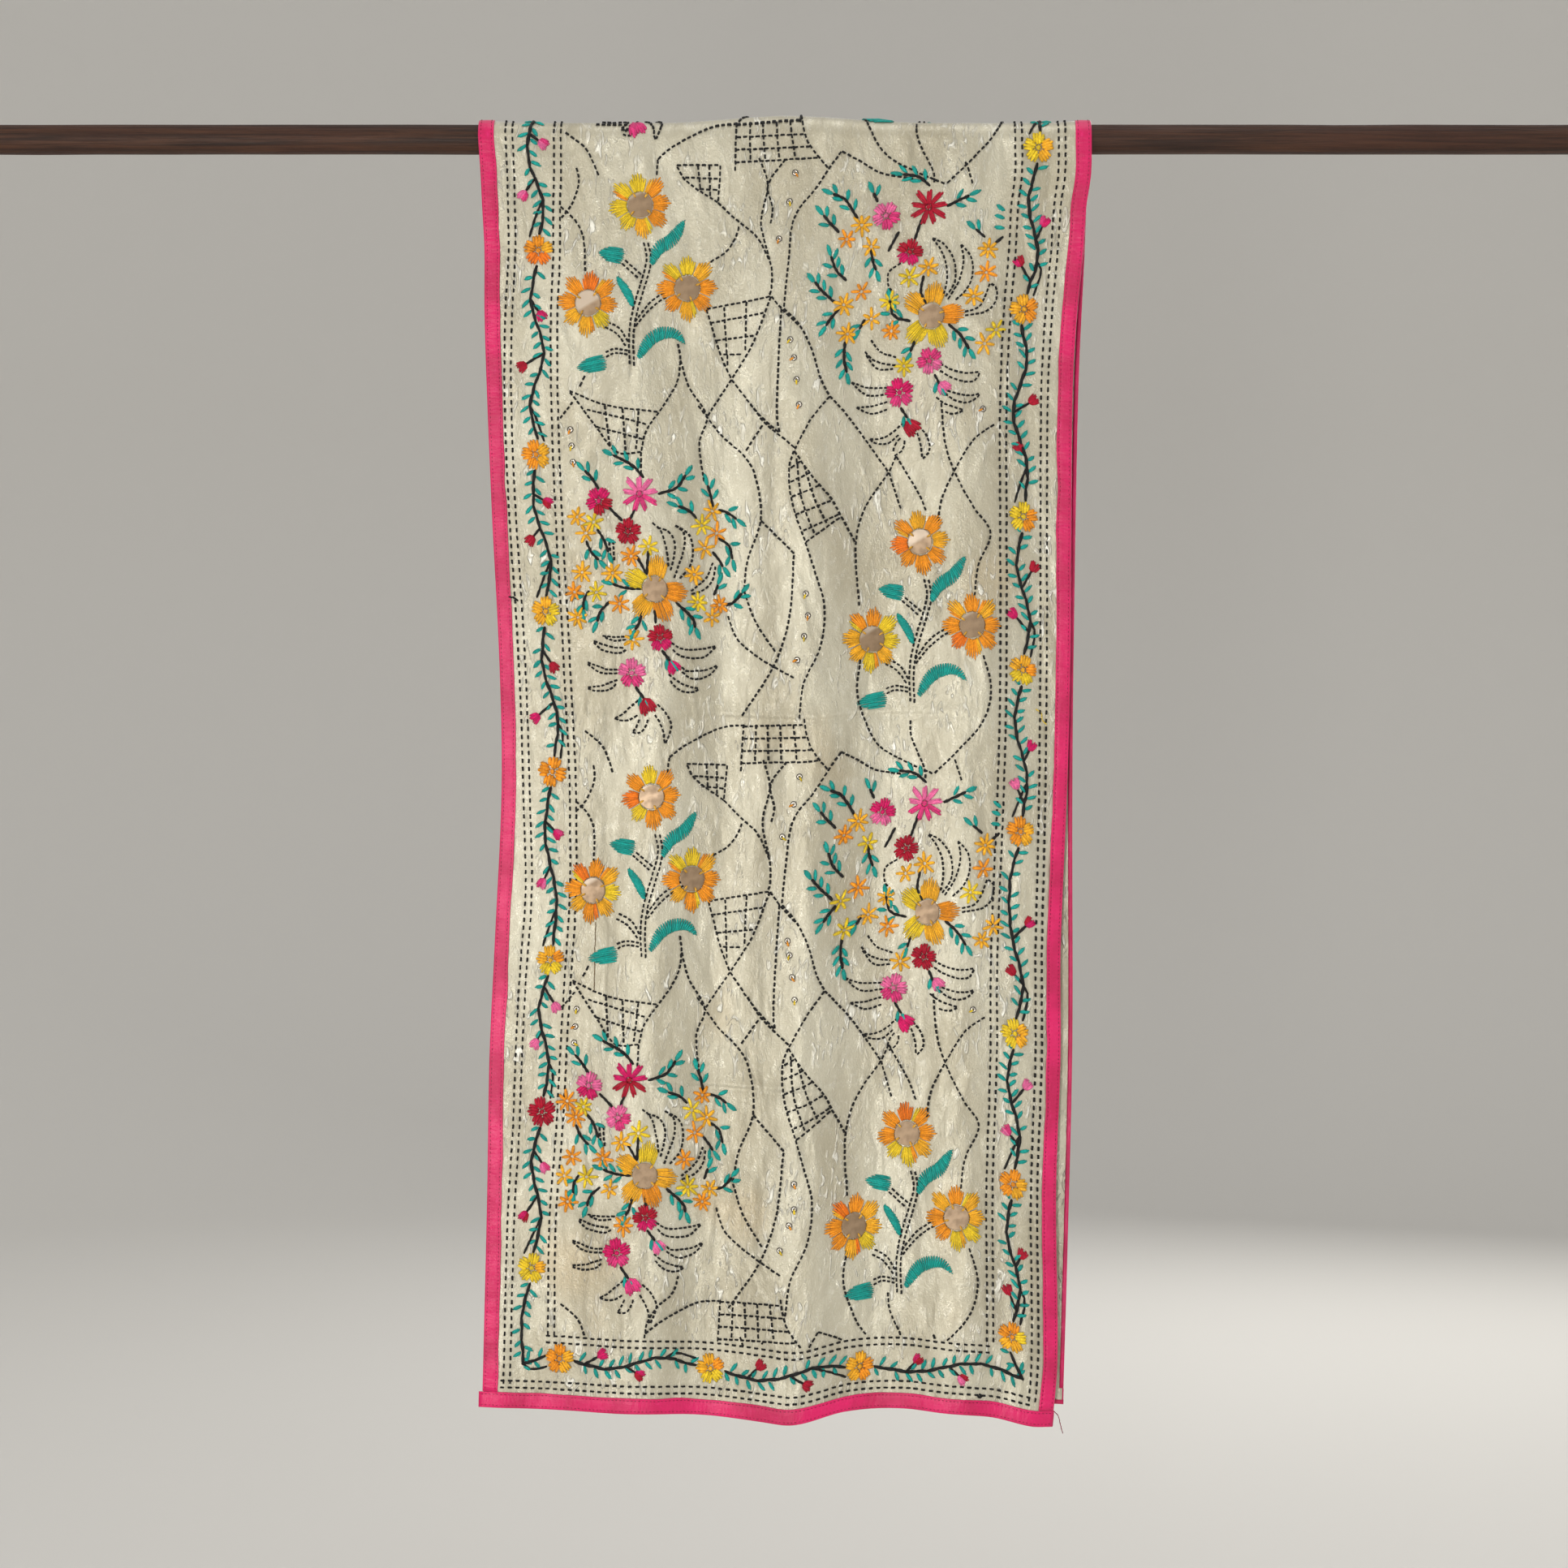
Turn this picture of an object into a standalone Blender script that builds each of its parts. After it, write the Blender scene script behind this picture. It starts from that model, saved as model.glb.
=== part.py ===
"""An embroidered stole, hung folded over a round wooden rod.

Metres, +Z up.  The origin is in the middle of the rod's axis, the rod lies along
X, and the front drop faces -Y, with +X to the right as seen from the front.

The stole is one long panel that goes up the front, over the rod and down the
back.  Every piece of it is placed by cloth_point, which takes a place on the flat
cloth and a distance out from its middle surface.  "Across" runs from -HALF_WIDTH
at the left edge to HALF_WIDTH at the right one.  "Along" is zero on top of the
rod, negative down the front drop and positive down the back one.
"""

import bisect
import math
from typing import NamedTuple

import bmesh
import bpy
from mathutils import Matrix, Vector
from mathutils.bvhtree import BVHTree

MM = 0.001

# Rod
ROD_RADIUS = 12 * MM
ROD_LENGTH = 1300 * MM
ROD_CHAMFER = 1.5 * MM
ROD_SIDES = 48

# The stole as it is cut and sewn
CLOTH_WIDTH = 490 * MM
HALF_WIDTH = CLOTH_WIDTH / 2
FRONT_LENGTH = 1043 * MM
BACK_LENGTH = 1038 * MM
WALL = 1 * MM
GAP = 0.3 * MM

# The ribbon turned over the edges: its width on the face and on the wrong side
BINDING_WIDTH = 13 * MM
BINDING_RETURN = 4 * MM
BINDING_WALL = 1 * MM
EDGE_INSET = BINDING_WALL + GAP
BINDING_RISE = WALL / 2 + GAP
HEM_JUT = 2.7 * MM

# Mirrors and the pattern that they belong to, which repeats along the cloth
MIRROR_RADIUS = 10 * MM
MIRROR_WALL = 1 * MM
MIRROR_SIDES = 18
PATTERN_REPEAT = 473.5 * MM

# Where the cloth turns over the rod, it lies on it all round but for one puff
TURN_STEPS = 12
TURN_ANGLE = math.pi / TURN_STEPS
TURN_RADIUS = (ROD_RADIUS + GAP) / math.cos(TURN_ANGLE / 2) + WALL / 2
QUARTER_TURN = TURN_RADIUS * math.pi / 2
EDGE_LIFT = BINDING_WALL + GAP
EDGE_EASE = 20 * MM
PUFF_CENTRE = 4 * MM
PUFF_REACH = 106 * MM
PUFF_HEIGHT = 5.5 * MM

# How finely the drops are cut into quads
DROP_ROWS = 27
PANEL_COLUMNS = 26
FOLD_RAMP = 260 * MM
CURL_REACH = 75 * MM
SLOPE_STEP = 1 * MM


class Edges(NamedTuple):
    """Where a drop's two side edges hang, at a distance below the rod's axis, in mm.

    A curl is how far the edge turns back behind the drop's own plane.
    """

    below: float
    left: float
    right: float
    left_curl: float
    right_curl: float


class Fold(NamedTuple):
    """A soft ridge down a drop, or a hollow where its depth is negative, in mm."""

    at_rod: float
    at_hem: float
    half_width: float
    depth: float
    starts: float


class Hem(NamedTuple):
    """How far below the rod's axis the hem hangs at a place across the cloth, in mm."""

    across: float
    below: float


class Drop(NamedTuple):
    """One hanging half of the stole.  Facing is -1 at the front and 1 at the back."""

    facing: int
    length: float
    edges: tuple
    folds: tuple
    hem: tuple


class Mirror(NamedTuple):
    """The place of a mirror's middle on the flat cloth, in mm."""

    across: float
    along: float


FRONT = Drop(
    facing=-1,
    length=FRONT_LENGTH,
    edges=(
        Edges(below=0, left=-245, right=246.4, left_curl=0, right_curl=0),
        Edges(below=30, left=-243, right=246, left_curl=0.5, right_curl=0.5),
        Edges(below=55, left=-241.8, right=242.4, left_curl=1, right_curl=2),
        Edges(below=90, left=-240, right=240, left_curl=2, right_curl=4),
        Edges(below=140, left=-240, right=235.3, left_curl=3, right_curl=6),
        Edges(below=200, left=-238.3, right=231.8, left_curl=4, right_curl=7),
        Edges(below=300, left=-234.5, right=230.8, left_curl=8, right_curl=8),
        Edges(below=420, left=-228.8, right=230, left_curl=12, right_curl=9),
        Edges(below=520, left=-227, right=227.5, left_curl=12, right_curl=11),
        Edges(below=650, left=-232.5, right=222.3, left_curl=9, right_curl=13),
        Edges(below=735, left=-236.3, right=222.2, left_curl=7, right_curl=13),
        Edges(below=845, left=-238, right=218.5, left_curl=5, right_curl=12),
        Edges(below=980, left=-241, right=219.3, left_curl=3, right_curl=9),
        Edges(below=1035, left=-242.3, right=214.5, left_curl=2, right_curl=8),
    ),
    folds=(
        Fold(at_rod=-178, at_hem=-190, half_width=48, depth=-5, starts=50),
        Fold(at_rod=-112, at_hem=-118, half_width=50, depth=7, starts=30),
        Fold(at_rod=-42, at_hem=-50, half_width=46, depth=-6, starts=70),
        Fold(at_rod=16, at_hem=22, half_width=46, depth=9, starts=20),
        Fold(at_rod=84, at_hem=96, half_width=54, depth=-8, starts=40),
        Fold(at_rod=152, at_hem=162, half_width=44, depth=5, starts=90),
        Fold(at_rod=204, at_hem=222, half_width=42, depth=7, starts=380),
    ),
    hem=(
        Hem(across=-248, below=1016.5),
        Hem(across=-182, below=1019.5),
        Hem(across=-74, below=1022.5),
        Hem(across=-4, below=1028),
        Hem(across=23, below=1029.5),
        Hem(across=64, below=1021),
        Hem(across=113, below=1018.5),
        Hem(across=152, below=1021),
        Hem(across=192, below=1024.5),
        Hem(across=227, below=1032),
        Hem(across=246, below=1033),
    ),
)

BACK = Drop(
    facing=1,
    length=BACK_LENGTH,
    edges=(
        Edges(below=0, left=-245, right=246.4, left_curl=0, right_curl=0),
        Edges(below=90, left=-239, right=243, left_curl=0, right_curl=0),
        Edges(below=200, left=-235, right=238, left_curl=0.5, right_curl=0.5),
        Edges(below=420, left=-226, right=234, left_curl=1, right_curl=1),
        Edges(below=540, left=-225, right=233, left_curl=1, right_curl=1),
        Edges(below=730, left=-230, right=233, left_curl=1, right_curl=1),
        Edges(below=900, left=-231, right=229, left_curl=0.5, right_curl=0.5),
        Edges(below=1020, left=-230, right=225.5, left_curl=0, right_curl=0),
    ),
    folds=(
        Fold(at_rod=-176, at_hem=-170, half_width=50, depth=7, starts=60),
        Fold(at_rod=-104, at_hem=-96, half_width=48, depth=-5, starts=110),
        Fold(at_rod=-38, at_hem=-46, half_width=50, depth=8, starts=40),
        Fold(at_rod=34, at_hem=26, half_width=48, depth=-5, starts=150),
        Fold(at_rod=98, at_hem=92, half_width=46, depth=7, starts=80),
        Fold(at_rod=170, at_hem=176, half_width=50, depth=-4, starts=60),
    ),
    hem=(
        Hem(across=-246, below=1013),
        Hem(across=-150, below=1016.5),
        Hem(across=-40, below=1013.5),
        Hem(across=60, below=1018),
        Hem(across=160, below=1015.5),
        Hem(across=246, below=1019),
    ),
)

# The flowers that hold a mirror, down the front drop
FRONT_MIRRORS = (
    Mirror(across=-116.7, along=-75.4),
    Mirror(across=-159.2, along=-153.7),
    Mirror(across=-77.9, along=-141.7),
    Mirror(across=123.9, along=-164.2),
    Mirror(across=116.8, along=-345.6),
    Mirror(across=74.6, along=-423.3),
    Mirror(across=159.8, along=-411.7),
    Mirror(across=-109, along=-383.1),
    Mirror(across=-114.1, along=-549.1),
    Mirror(across=-161.2, along=-624.7),
    Mirror(across=-76.8, along=-614.2),
    Mirror(across=128.2, along=-642.7),
    Mirror(across=115.1, along=-821.3),
    Mirror(across=70.6, along=-894),
    Mirror(across=158.4, along=-885.4),
    Mirror(across=-109.2, along=-851.6),
)


def ease(share):
    """Rise smoothly from 0 to 1 as the share does."""
    share = min(max(share, 0), 1)
    return share * share * (3 - 2 * share)


def bell(distance, reach):
    """1 at no distance, falling smoothly to 0 at the reach."""
    if abs(distance) >= reach:
        return 0
    return (1 + math.cos(math.pi * distance / reach)) / 2


def read_column(rows, place, column):
    """Read a column of a table at a place, on a smooth curve through its rows, in metres."""
    places = [row[0] * MM for row in rows]
    values = [getattr(row, column) * MM for row in rows]
    last = len(rows) - 1
    place = min(max(place, places[0]), places[last])
    start = min(bisect.bisect_right(places, place) - 1, last - 1)
    end = start + 1

    def slope(row):
        before = max(row - 1, 0)
        after = min(row + 1, last)
        return (values[after] - values[before]) / (places[after] - places[before])

    span = places[end] - places[start]
    share = (place - places[start]) / span
    risen = ease(share)
    leaving = span * slope(start) * share * (1 - share) ** 2
    arriving = span * slope(end) * share ** 2 * (1 - share)
    return values[start] * (1 - risen) + values[end] * risen + leaving - arriving


def turn_radius(across, angle):
    """The cloth's distance from the rod's axis, at an angle from straight up."""
    free_edge = HALF_WIDTH - BINDING_WIDTH - EDGE_EASE
    lift = EDGE_LIFT * ease((abs(across) - free_edge) / EDGE_EASE)
    puff = PUFF_HEIGHT * bell(across - PUFF_CENTRE, PUFF_REACH) * math.cos(angle) ** 2
    return TURN_RADIUS + lift + puff


def place_across(drop, across, below):
    """The x of a place across the cloth, between the drop's two edges."""
    left = read_column(drop.edges, below, "left")
    right = read_column(drop.edges, below, "right")
    return left + (right - left) * (across + HALF_WIDTH) / CLOTH_WIDTH


def fold_depth(drop, across, below):
    """How far the drop's folds stand out from its plane, less the curl of its edges."""
    depth = 0
    for fold in drop.folds:
        share = below / (drop.length - QUARTER_TURN)
        middle = (fold.at_rod + (fold.at_hem - fold.at_rod) * share) * MM
        grown = ease((below - fold.starts * MM) / FOLD_RAMP)
        depth += fold.depth * MM * grown * bell(across - middle, fold.half_width * MM)
    side = "left_curl" if across < 0 else "right_curl"
    curled = ease((abs(across) - HALF_WIDTH + CURL_REACH) / CURL_REACH)
    return depth - read_column(drop.edges, below, side) * curled


def draped(across, along):
    """A place on the cloth's middle surface."""
    drop = FRONT if along < 0 else BACK
    if abs(along) <= QUARTER_TURN:
        angle = along / TURN_RADIUS
        radius = turn_radius(across, angle)
        x = place_across(drop, across, 0)
        return Vector((x, radius * math.sin(angle), radius * math.cos(angle)))
    share = (abs(along) - QUARTER_TURN) / (drop.length - QUARTER_TURN)
    below = share * read_column(drop.hem, across, "below")
    out = turn_radius(across, math.pi / 2) + fold_depth(drop, across, below)
    return Vector((place_across(drop, across, below), drop.facing * out, -below))


def cloth_middle(across, along):
    """A place on the cloth's middle surface, which is straight across a binding."""
    seam = HALF_WIDTH - BINDING_WIDTH
    if abs(across) <= seam:
        return draped(across, along)
    side = math.copysign(1, across)
    share = (abs(across) - seam) / BINDING_WIDTH
    return draped(side * seam, along).lerp(draped(side * HALF_WIDTH, along), share)


def cloth_directions(across, along):
    """The cloth's own directions at a place: across it, along it and out of its face."""
    step = SLOPE_STEP
    sideways = cloth_middle(across + step, along) - cloth_middle(across - step, along)
    lengthways = cloth_middle(across, along + step) - cloth_middle(across, along - step)
    face = sideways.cross(lengthways).normalized()
    sideways = (sideways - face * sideways.dot(face)).normalized()
    return sideways, face.cross(sideways), face


def cloth_point(across, along, out):
    """A place so far out from the cloth's middle surface, towards its face."""
    return cloth_middle(across, along) + cloth_directions(across, along)[2] * out


def new_material(name, colour, roughness):
    material = bpy.data.materials.new(name)
    material.use_nodes = True
    shader = material.node_tree.nodes["Principled BSDF"]
    shader.inputs["Base Color"].default_value = (*colour, 1)
    shader.inputs["Roughness"].default_value = roughness
    shader.inputs["Metallic"].default_value = 0
    material.diffuse_color = (*colour, 1)
    return material


def new_object(name, bm, material):
    mesh = bpy.data.meshes.new(name)
    bm.to_mesh(mesh)
    bm.free()
    mesh.materials.append(material)
    piece = bpy.data.objects.new(name, mesh)
    bpy.context.scene.collection.objects.link(piece)
    return piece


def carry_section(name, stations, section, cap, point_at, material):
    """Make a solid by carrying a closed section along its stations.

    The section is a list of (offset, out) pairs and the cap a list of quads that
    close it.  Each quad of the walls is cut from its smaller offset at one station
    to its larger offset at the next, so that both faces of a thin wall, and the
    pieces that lie on it, are cut alike.
    """
    bm = bmesh.new()
    rings = []
    for station in stations:
        rings.append([bm.verts.new(point_at(station, *corner)) for corner in section])
    for ring, later in zip(rings, rings[1:]):
        for i, j in zip(range(len(section)), [*range(1, len(section)), 0]):
            near, far = (i, j) if section[i][0] <= section[j][0] else (j, i)
            bm.faces.new((ring[near], ring[far], later[far]))
            bm.faces.new((ring[near], later[far], later[near]))
    for ring in (rings[0], rings[-1]):
        for corners in cap:
            bm.faces.new([ring[corner] for corner in corners])
    bmesh.ops.recalc_face_normals(bm, faces=bm.faces)
    return new_object(name, bm, material)


def evenly(start, end, steps):
    return [start + (end - start) * i / steps for i in range(steps + 1)]


def cloth_rows():
    """The places along the cloth where its quads meet, without those in the hems."""
    front = evenly(-FRONT_LENGTH + BINDING_WIDTH, -QUARTER_TURN, DROP_ROWS)
    turn = evenly(-QUARTER_TURN, QUARTER_TURN, TURN_STEPS)
    back = evenly(QUARTER_TURN, BACK_LENGTH - BINDING_WIDTH, DROP_ROWS)
    return front + turn[1:-1] + back


def cloth_columns():
    """The places across the cloth where its quads meet, without its two edges."""
    seam = HALF_WIDTH - BINDING_WIDTH
    return evenly(-seam, seam, PANEL_COLUMNS)


def make_rod(material):
    bm = bmesh.new()
    bmesh.ops.create_cone(
        bm,
        cap_ends=True,
        segments=ROD_SIDES,
        radius1=ROD_RADIUS,
        radius2=ROD_RADIUS,
        depth=ROD_LENGTH,
        matrix=Matrix.Rotation(math.pi / 2, 4, "Y"),
    )
    rims = [edge for edge in bm.edges if edge.calc_length() < ROD_RADIUS]
    bmesh.ops.bevel(bm, geom=rims, offset=ROD_CHAMFER, segments=1, affect="EDGES")
    rod = new_object("rod", bm, material)
    rod.data.shade_smooth()
    rod.data.set_sharp_from_angle(angle=math.radians(30))


def make_panel(material):
    """The cream panel, which ends inside the bindings."""
    edge = HALF_WIDTH - EDGE_INSET
    columns = [-edge, *cloth_columns(), edge]
    rows = [-FRONT_LENGTH + EDGE_INSET, *cloth_rows(), BACK_LENGTH - EDGE_INSET]
    face = [(across, WALL / 2) for across in columns]
    wrong_side = [(across, -WALL / 2) for across in reversed(columns)]
    last = len(face) + len(wrong_side) - 1
    cap = [(i, i + 1, last - i - 1, last - i) for i in range(len(face) - 1)]

    def point_at(along, across, out):
        return cloth_point(across, along, out)

    return carry_section("stole_panel", rows, face + wrong_side, cap, point_at, material)


def ribbon_section(edge, inward):
    """A ribbon's cut where it is turned over an edge.  Inward is 1 or -1."""
    face_end = edge + inward * BINDING_WIDTH
    return_end = edge + inward * BINDING_RETURN
    turn = edge + inward * BINDING_WALL
    near = BINDING_RISE
    far = BINDING_RISE + BINDING_WALL
    section = [
        (edge, far),
        (face_end, far),
        (face_end, near),
        (turn, near),
        (turn, -near),
        (return_end, -near),
        (return_end, -far),
        (edge, -far),
    ]
    cap = [(0, 1, 2, 3), (0, 3, 4, 7), (4, 5, 6, 7)]
    return section, cap


def make_side_binding(name, side, material):
    """The ribbon over a long edge.  It stops just short of the two hems."""
    ends = BINDING_WIDTH + GAP
    rows = [-FRONT_LENGTH + ends, *cloth_rows()[1:-1], BACK_LENGTH - ends]
    section, cap = ribbon_section(side * HALF_WIDTH, -side)

    def point_at(along, across, out):
        return cloth_point(across, along, out)

    return carry_section(name, rows, section, cap, point_at, material)


def make_hem(name, edge, inward, left_jut, material):
    """The ribbon over a short end of the cloth, the full width of it."""
    columns = [-HALF_WIDTH - left_jut, *cloth_columns(), HALF_WIDTH]
    section, cap = ribbon_section(edge, inward)

    def point_at(across, along, out):
        return cloth_point(across, along, out)

    return carry_section(name, columns, section, cap, point_at, material)


def height_under(tree, centre, directions, radius):
    """How high the panel stands over a disc's plane, anywhere under the disc."""
    sideways, lengthways, face = directions
    probe = 20 * MM
    rings = 8
    highest = -probe
    for i in range(rings + 1):
        for k in range(MIRROR_SIDES * 2):
            turn = math.pi * k / MIRROR_SIDES
            reach = radius * i / rings
            offset = (sideways * math.cos(turn) + lengthways * math.sin(turn)) * reach
            distance = tree.ray_cast(centre + offset + face * probe, -face, 2 * probe)[3]
            if distance is not None:
                highest = max(highest, probe - distance)
    return highest


def make_mirror(name, across, along, tree, material):
    """A flat round mirror that just clears the panel's face under it."""
    directions = cloth_directions(across, along)
    sideways, lengthways, face = directions
    centre = cloth_middle(across, along)
    seat = height_under(tree, centre, directions, MIRROR_RADIUS) + GAP
    bm = bmesh.new()
    rims = []
    for height in (seat, seat + MIRROR_WALL):
        rim = []
        for k in range(MIRROR_SIDES):
            turn = 2 * math.pi * k / MIRROR_SIDES
            offset = (sideways * math.cos(turn) + lengthways * math.sin(turn)) * MIRROR_RADIUS
            rim.append(bm.verts.new(centre + offset + face * height))
        rims.append(rim)
    lower, upper = rims
    bm.faces.new(lower)
    bm.faces.new(upper)
    for k in range(MIRROR_SIDES):
        following = (k + 1) % MIRROR_SIDES
        bm.faces.new((lower[k], lower[following], upper[following], upper[k]))
    bmesh.ops.recalc_face_normals(bm, faces=bm.faces)
    return new_object(name, bm, material)


def make_mirrors(panel, material):
    """Each flower's mirror down the front, and again two repeats along, down the back."""
    bm = bmesh.new()
    bm.from_mesh(panel.data)
    tree = BVHTree.FromBMesh(bm)
    bm.free()
    for drop_name, shift in (("front", 0), ("back", 2 * PATTERN_REPEAT)):
        for number, mirror in enumerate(FRONT_MIRRORS, start=1):
            name = f"mirror_{drop_name}_{number:02d}"
            make_mirror(name, mirror.across * MM, mirror.along * MM + shift, tree, material)


def build():
    for old in list(bpy.data.objects):
        bpy.data.objects.remove(old)
    wood = new_material("rod_wood", (0.13, 0.065, 0.04), 0.5)
    silk = new_material("cream_silk", (0.58, 0.54, 0.4), 0.6)
    ribbon = new_material("pink_ribbon", (0.72, 0.02, 0.16), 0.45)
    glass = new_material("mirror_glass", (0.45, 0.38, 0.3), 0.12)
    make_rod(wood)
    panel = make_panel(silk)
    make_side_binding("binding_left", -1, ribbon)
    make_side_binding("binding_right", 1, ribbon)
    make_hem("hem_front", -FRONT_LENGTH, 1, HEM_JUT, ribbon)
    make_hem("hem_back", BACK_LENGTH, -1, 0, ribbon)
    make_mirrors(panel, glass)


build()
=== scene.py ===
"""The looks of an embroidered stole, hung folded over a round wooden rod.

Metres, +Z up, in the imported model's own frame: the rod's axis lies along X through
the origin, and the front drop faces -Y.

Everything on the cloth is placed by cloth_point, from a place on the flat cloth and
a height over its middle surface.  "Across" runs from -HALF_WIDTH at the left edge to
HALF_WIDTH at the right one.  "Along" is zero on top of the rod, negative down the
front drop and positive down the back one.  Tables are in millimetres.
"""

import math
from typing import NamedTuple

import bpy
import numpy as np
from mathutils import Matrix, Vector


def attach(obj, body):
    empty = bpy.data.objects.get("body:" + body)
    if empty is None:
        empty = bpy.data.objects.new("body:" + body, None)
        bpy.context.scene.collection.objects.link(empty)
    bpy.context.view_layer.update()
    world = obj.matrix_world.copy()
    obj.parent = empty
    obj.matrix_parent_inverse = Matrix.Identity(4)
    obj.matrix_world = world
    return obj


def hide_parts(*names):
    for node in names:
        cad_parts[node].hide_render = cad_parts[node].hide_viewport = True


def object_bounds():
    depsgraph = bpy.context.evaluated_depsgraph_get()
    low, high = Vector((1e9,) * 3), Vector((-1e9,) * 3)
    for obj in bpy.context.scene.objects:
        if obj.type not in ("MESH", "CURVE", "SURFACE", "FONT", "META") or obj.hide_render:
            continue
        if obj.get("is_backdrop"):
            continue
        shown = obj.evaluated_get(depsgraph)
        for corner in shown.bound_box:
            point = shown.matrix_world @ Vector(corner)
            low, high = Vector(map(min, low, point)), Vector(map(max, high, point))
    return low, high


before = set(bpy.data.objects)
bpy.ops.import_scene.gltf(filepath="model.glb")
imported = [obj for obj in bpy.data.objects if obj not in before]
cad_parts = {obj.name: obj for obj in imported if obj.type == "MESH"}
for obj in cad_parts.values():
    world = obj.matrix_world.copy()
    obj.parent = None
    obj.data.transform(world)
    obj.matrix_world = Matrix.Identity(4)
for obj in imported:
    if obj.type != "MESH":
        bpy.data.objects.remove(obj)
CAD_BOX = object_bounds()

MM = 0.001

# Rod and cloth, as in the solids
ROD_RADIUS = 12 * MM
ROD_LENGTH = 1300 * MM
CLOTH_WIDTH = 490 * MM
HALF_WIDTH = CLOTH_WIDTH / 2
FRONT_LENGTH = 1043 * MM
BACK_LENGTH = 1038 * MM
GAP = 0.3 * MM
SOLID_WALL = 1 * MM
BINDING_WIDTH = 13 * MM
BINDING_RETURN = 4 * MM
BINDING_RISE = SOLID_WALL / 2 + GAP
HEM_JUT = 2.7 * MM
MIRROR_RADIUS = 10 * MM
PATTERN_REPEAT = 473.5 * MM
TURN_ANGLE = math.pi / 12
TURN_RADIUS = (ROD_RADIUS + GAP) / math.cos(TURN_ANGLE / 2) + SOLID_WALL / 2
QUARTER_TURN = TURN_RADIUS * math.pi / 2
EDGE_LIFT = 1.3 * MM
EDGE_EASE = 20 * MM
PUFF_CENTRE = 4 * MM
PUFF_REACH = 106 * MM
PUFF_HEIGHT = 5.5 * MM
FOLD_RAMP = 260 * MM
CURL_REACH = 75 * MM

# The fine cloth
SILK_WALL = 0.6 * MM
GRID_COLUMNS = 129


class Edges(NamedTuple):
    """Where a drop's two side edges hang, at a distance below the rod's axis, in mm."""

    below: float
    left: float
    right: float
    left_curl: float
    right_curl: float


class Fold(NamedTuple):
    """A soft ridge down a drop, or a hollow where its depth is negative, in mm."""

    at_rod: float
    at_hem: float
    half_width: float
    depth: float
    starts: float


class Hem(NamedTuple):
    """How far below the rod's axis the hem hangs at a place across the cloth, in mm."""

    across: float
    below: float


class Drop(NamedTuple):
    """One hanging half of the stole.  Facing is -1 at the front and 1 at the back."""

    facing: int
    length: float
    edges: tuple
    folds: tuple
    hem: tuple


class Crease(NamedTuple):
    """A trough or ridge in the cloth, in mm, leaning from straight down by some degrees."""

    across: float
    along: float
    length: float
    width: float
    lean: float
    depth: float


FRONT = Drop(
    facing=-1,
    length=FRONT_LENGTH,
    edges=(
        Edges(0, -245, 246.4, 0, 0), Edges(30, -243, 246, 0.5, 0.5), Edges(55, -241.8, 242.4, 1, 2),
        Edges(90, -240, 240, 2, 4), Edges(140, -240, 235.3, 3, 6), Edges(200, -238.3, 231.8, 4, 7),
        Edges(300, -234.5, 230.8, 8, 8), Edges(420, -228.8, 230, 12, 9), Edges(520, -227, 227.5, 12, 11),
        Edges(650, -232.5, 222.3, 9, 13), Edges(735, -236.3, 222.2, 7, 13),
        Edges(845, -238, 218.5, 5, 12), Edges(980, -241, 219.3, 3, 9), Edges(1035, -242.3, 214.5, 2, 8),
    ),
    folds=(
        Fold(-178, -190, 48, -5, 50), Fold(-112, -118, 50, 7, 30), Fold(-42, -50, 46, -6, 70),
        Fold(16, 22, 46, 9, 20), Fold(84, 96, 54, -8, 40), Fold(152, 162, 44, 5, 90),
        Fold(204, 222, 42, 7, 380),
    ),
    hem=(
        Hem(-248, 1016.5), Hem(-182, 1019.5), Hem(-74, 1022.5), Hem(-4, 1028), Hem(23, 1029.5),
        Hem(64, 1021), Hem(113, 1018.5), Hem(152, 1021), Hem(192, 1024.5), Hem(227, 1032), Hem(246, 1033),
    ),
)

BACK = Drop(
    facing=1,
    length=BACK_LENGTH,
    edges=(
        Edges(0, -245, 246.4, 0, 0), Edges(90, -239, 243, 0, 0), Edges(200, -235, 238, 0.5, 0.5),
        Edges(420, -226, 234, 1, 1), Edges(540, -225, 233, 1, 1), Edges(730, -230, 233, 1, 1),
        Edges(900, -231, 229, 0.5, 0.5), Edges(1020, -230, 225.5, 0, 0),
    ),
    folds=(
        Fold(-176, -170, 50, 7, 60), Fold(-104, -96, 48, -5, 110), Fold(-38, -46, 50, 8, 40),
        Fold(34, 26, 48, -5, 150), Fold(98, 92, 46, 7, 80), Fold(170, 176, 50, -4, 60),
    ),
    hem=(
        Hem(-246, 1013), Hem(-150, 1016.5), Hem(-40, 1013.5), Hem(60, 1018), Hem(160, 1015.5),
        Hem(246, 1019),
    ),
)


# Ways of working out a smooth curve


def ease(share):
    """Rise smoothly from 0 to 1 as the share does."""
    share = np.clip(share, 0, 1)
    return share * share * (3 - 2 * share)


def bell(distance, reach):
    """1 at no distance, falling smoothly to 0 at the reach."""
    return np.where(np.abs(distance) < reach, (1 + np.cos(np.pi * distance / reach)) / 2, 0)


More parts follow.
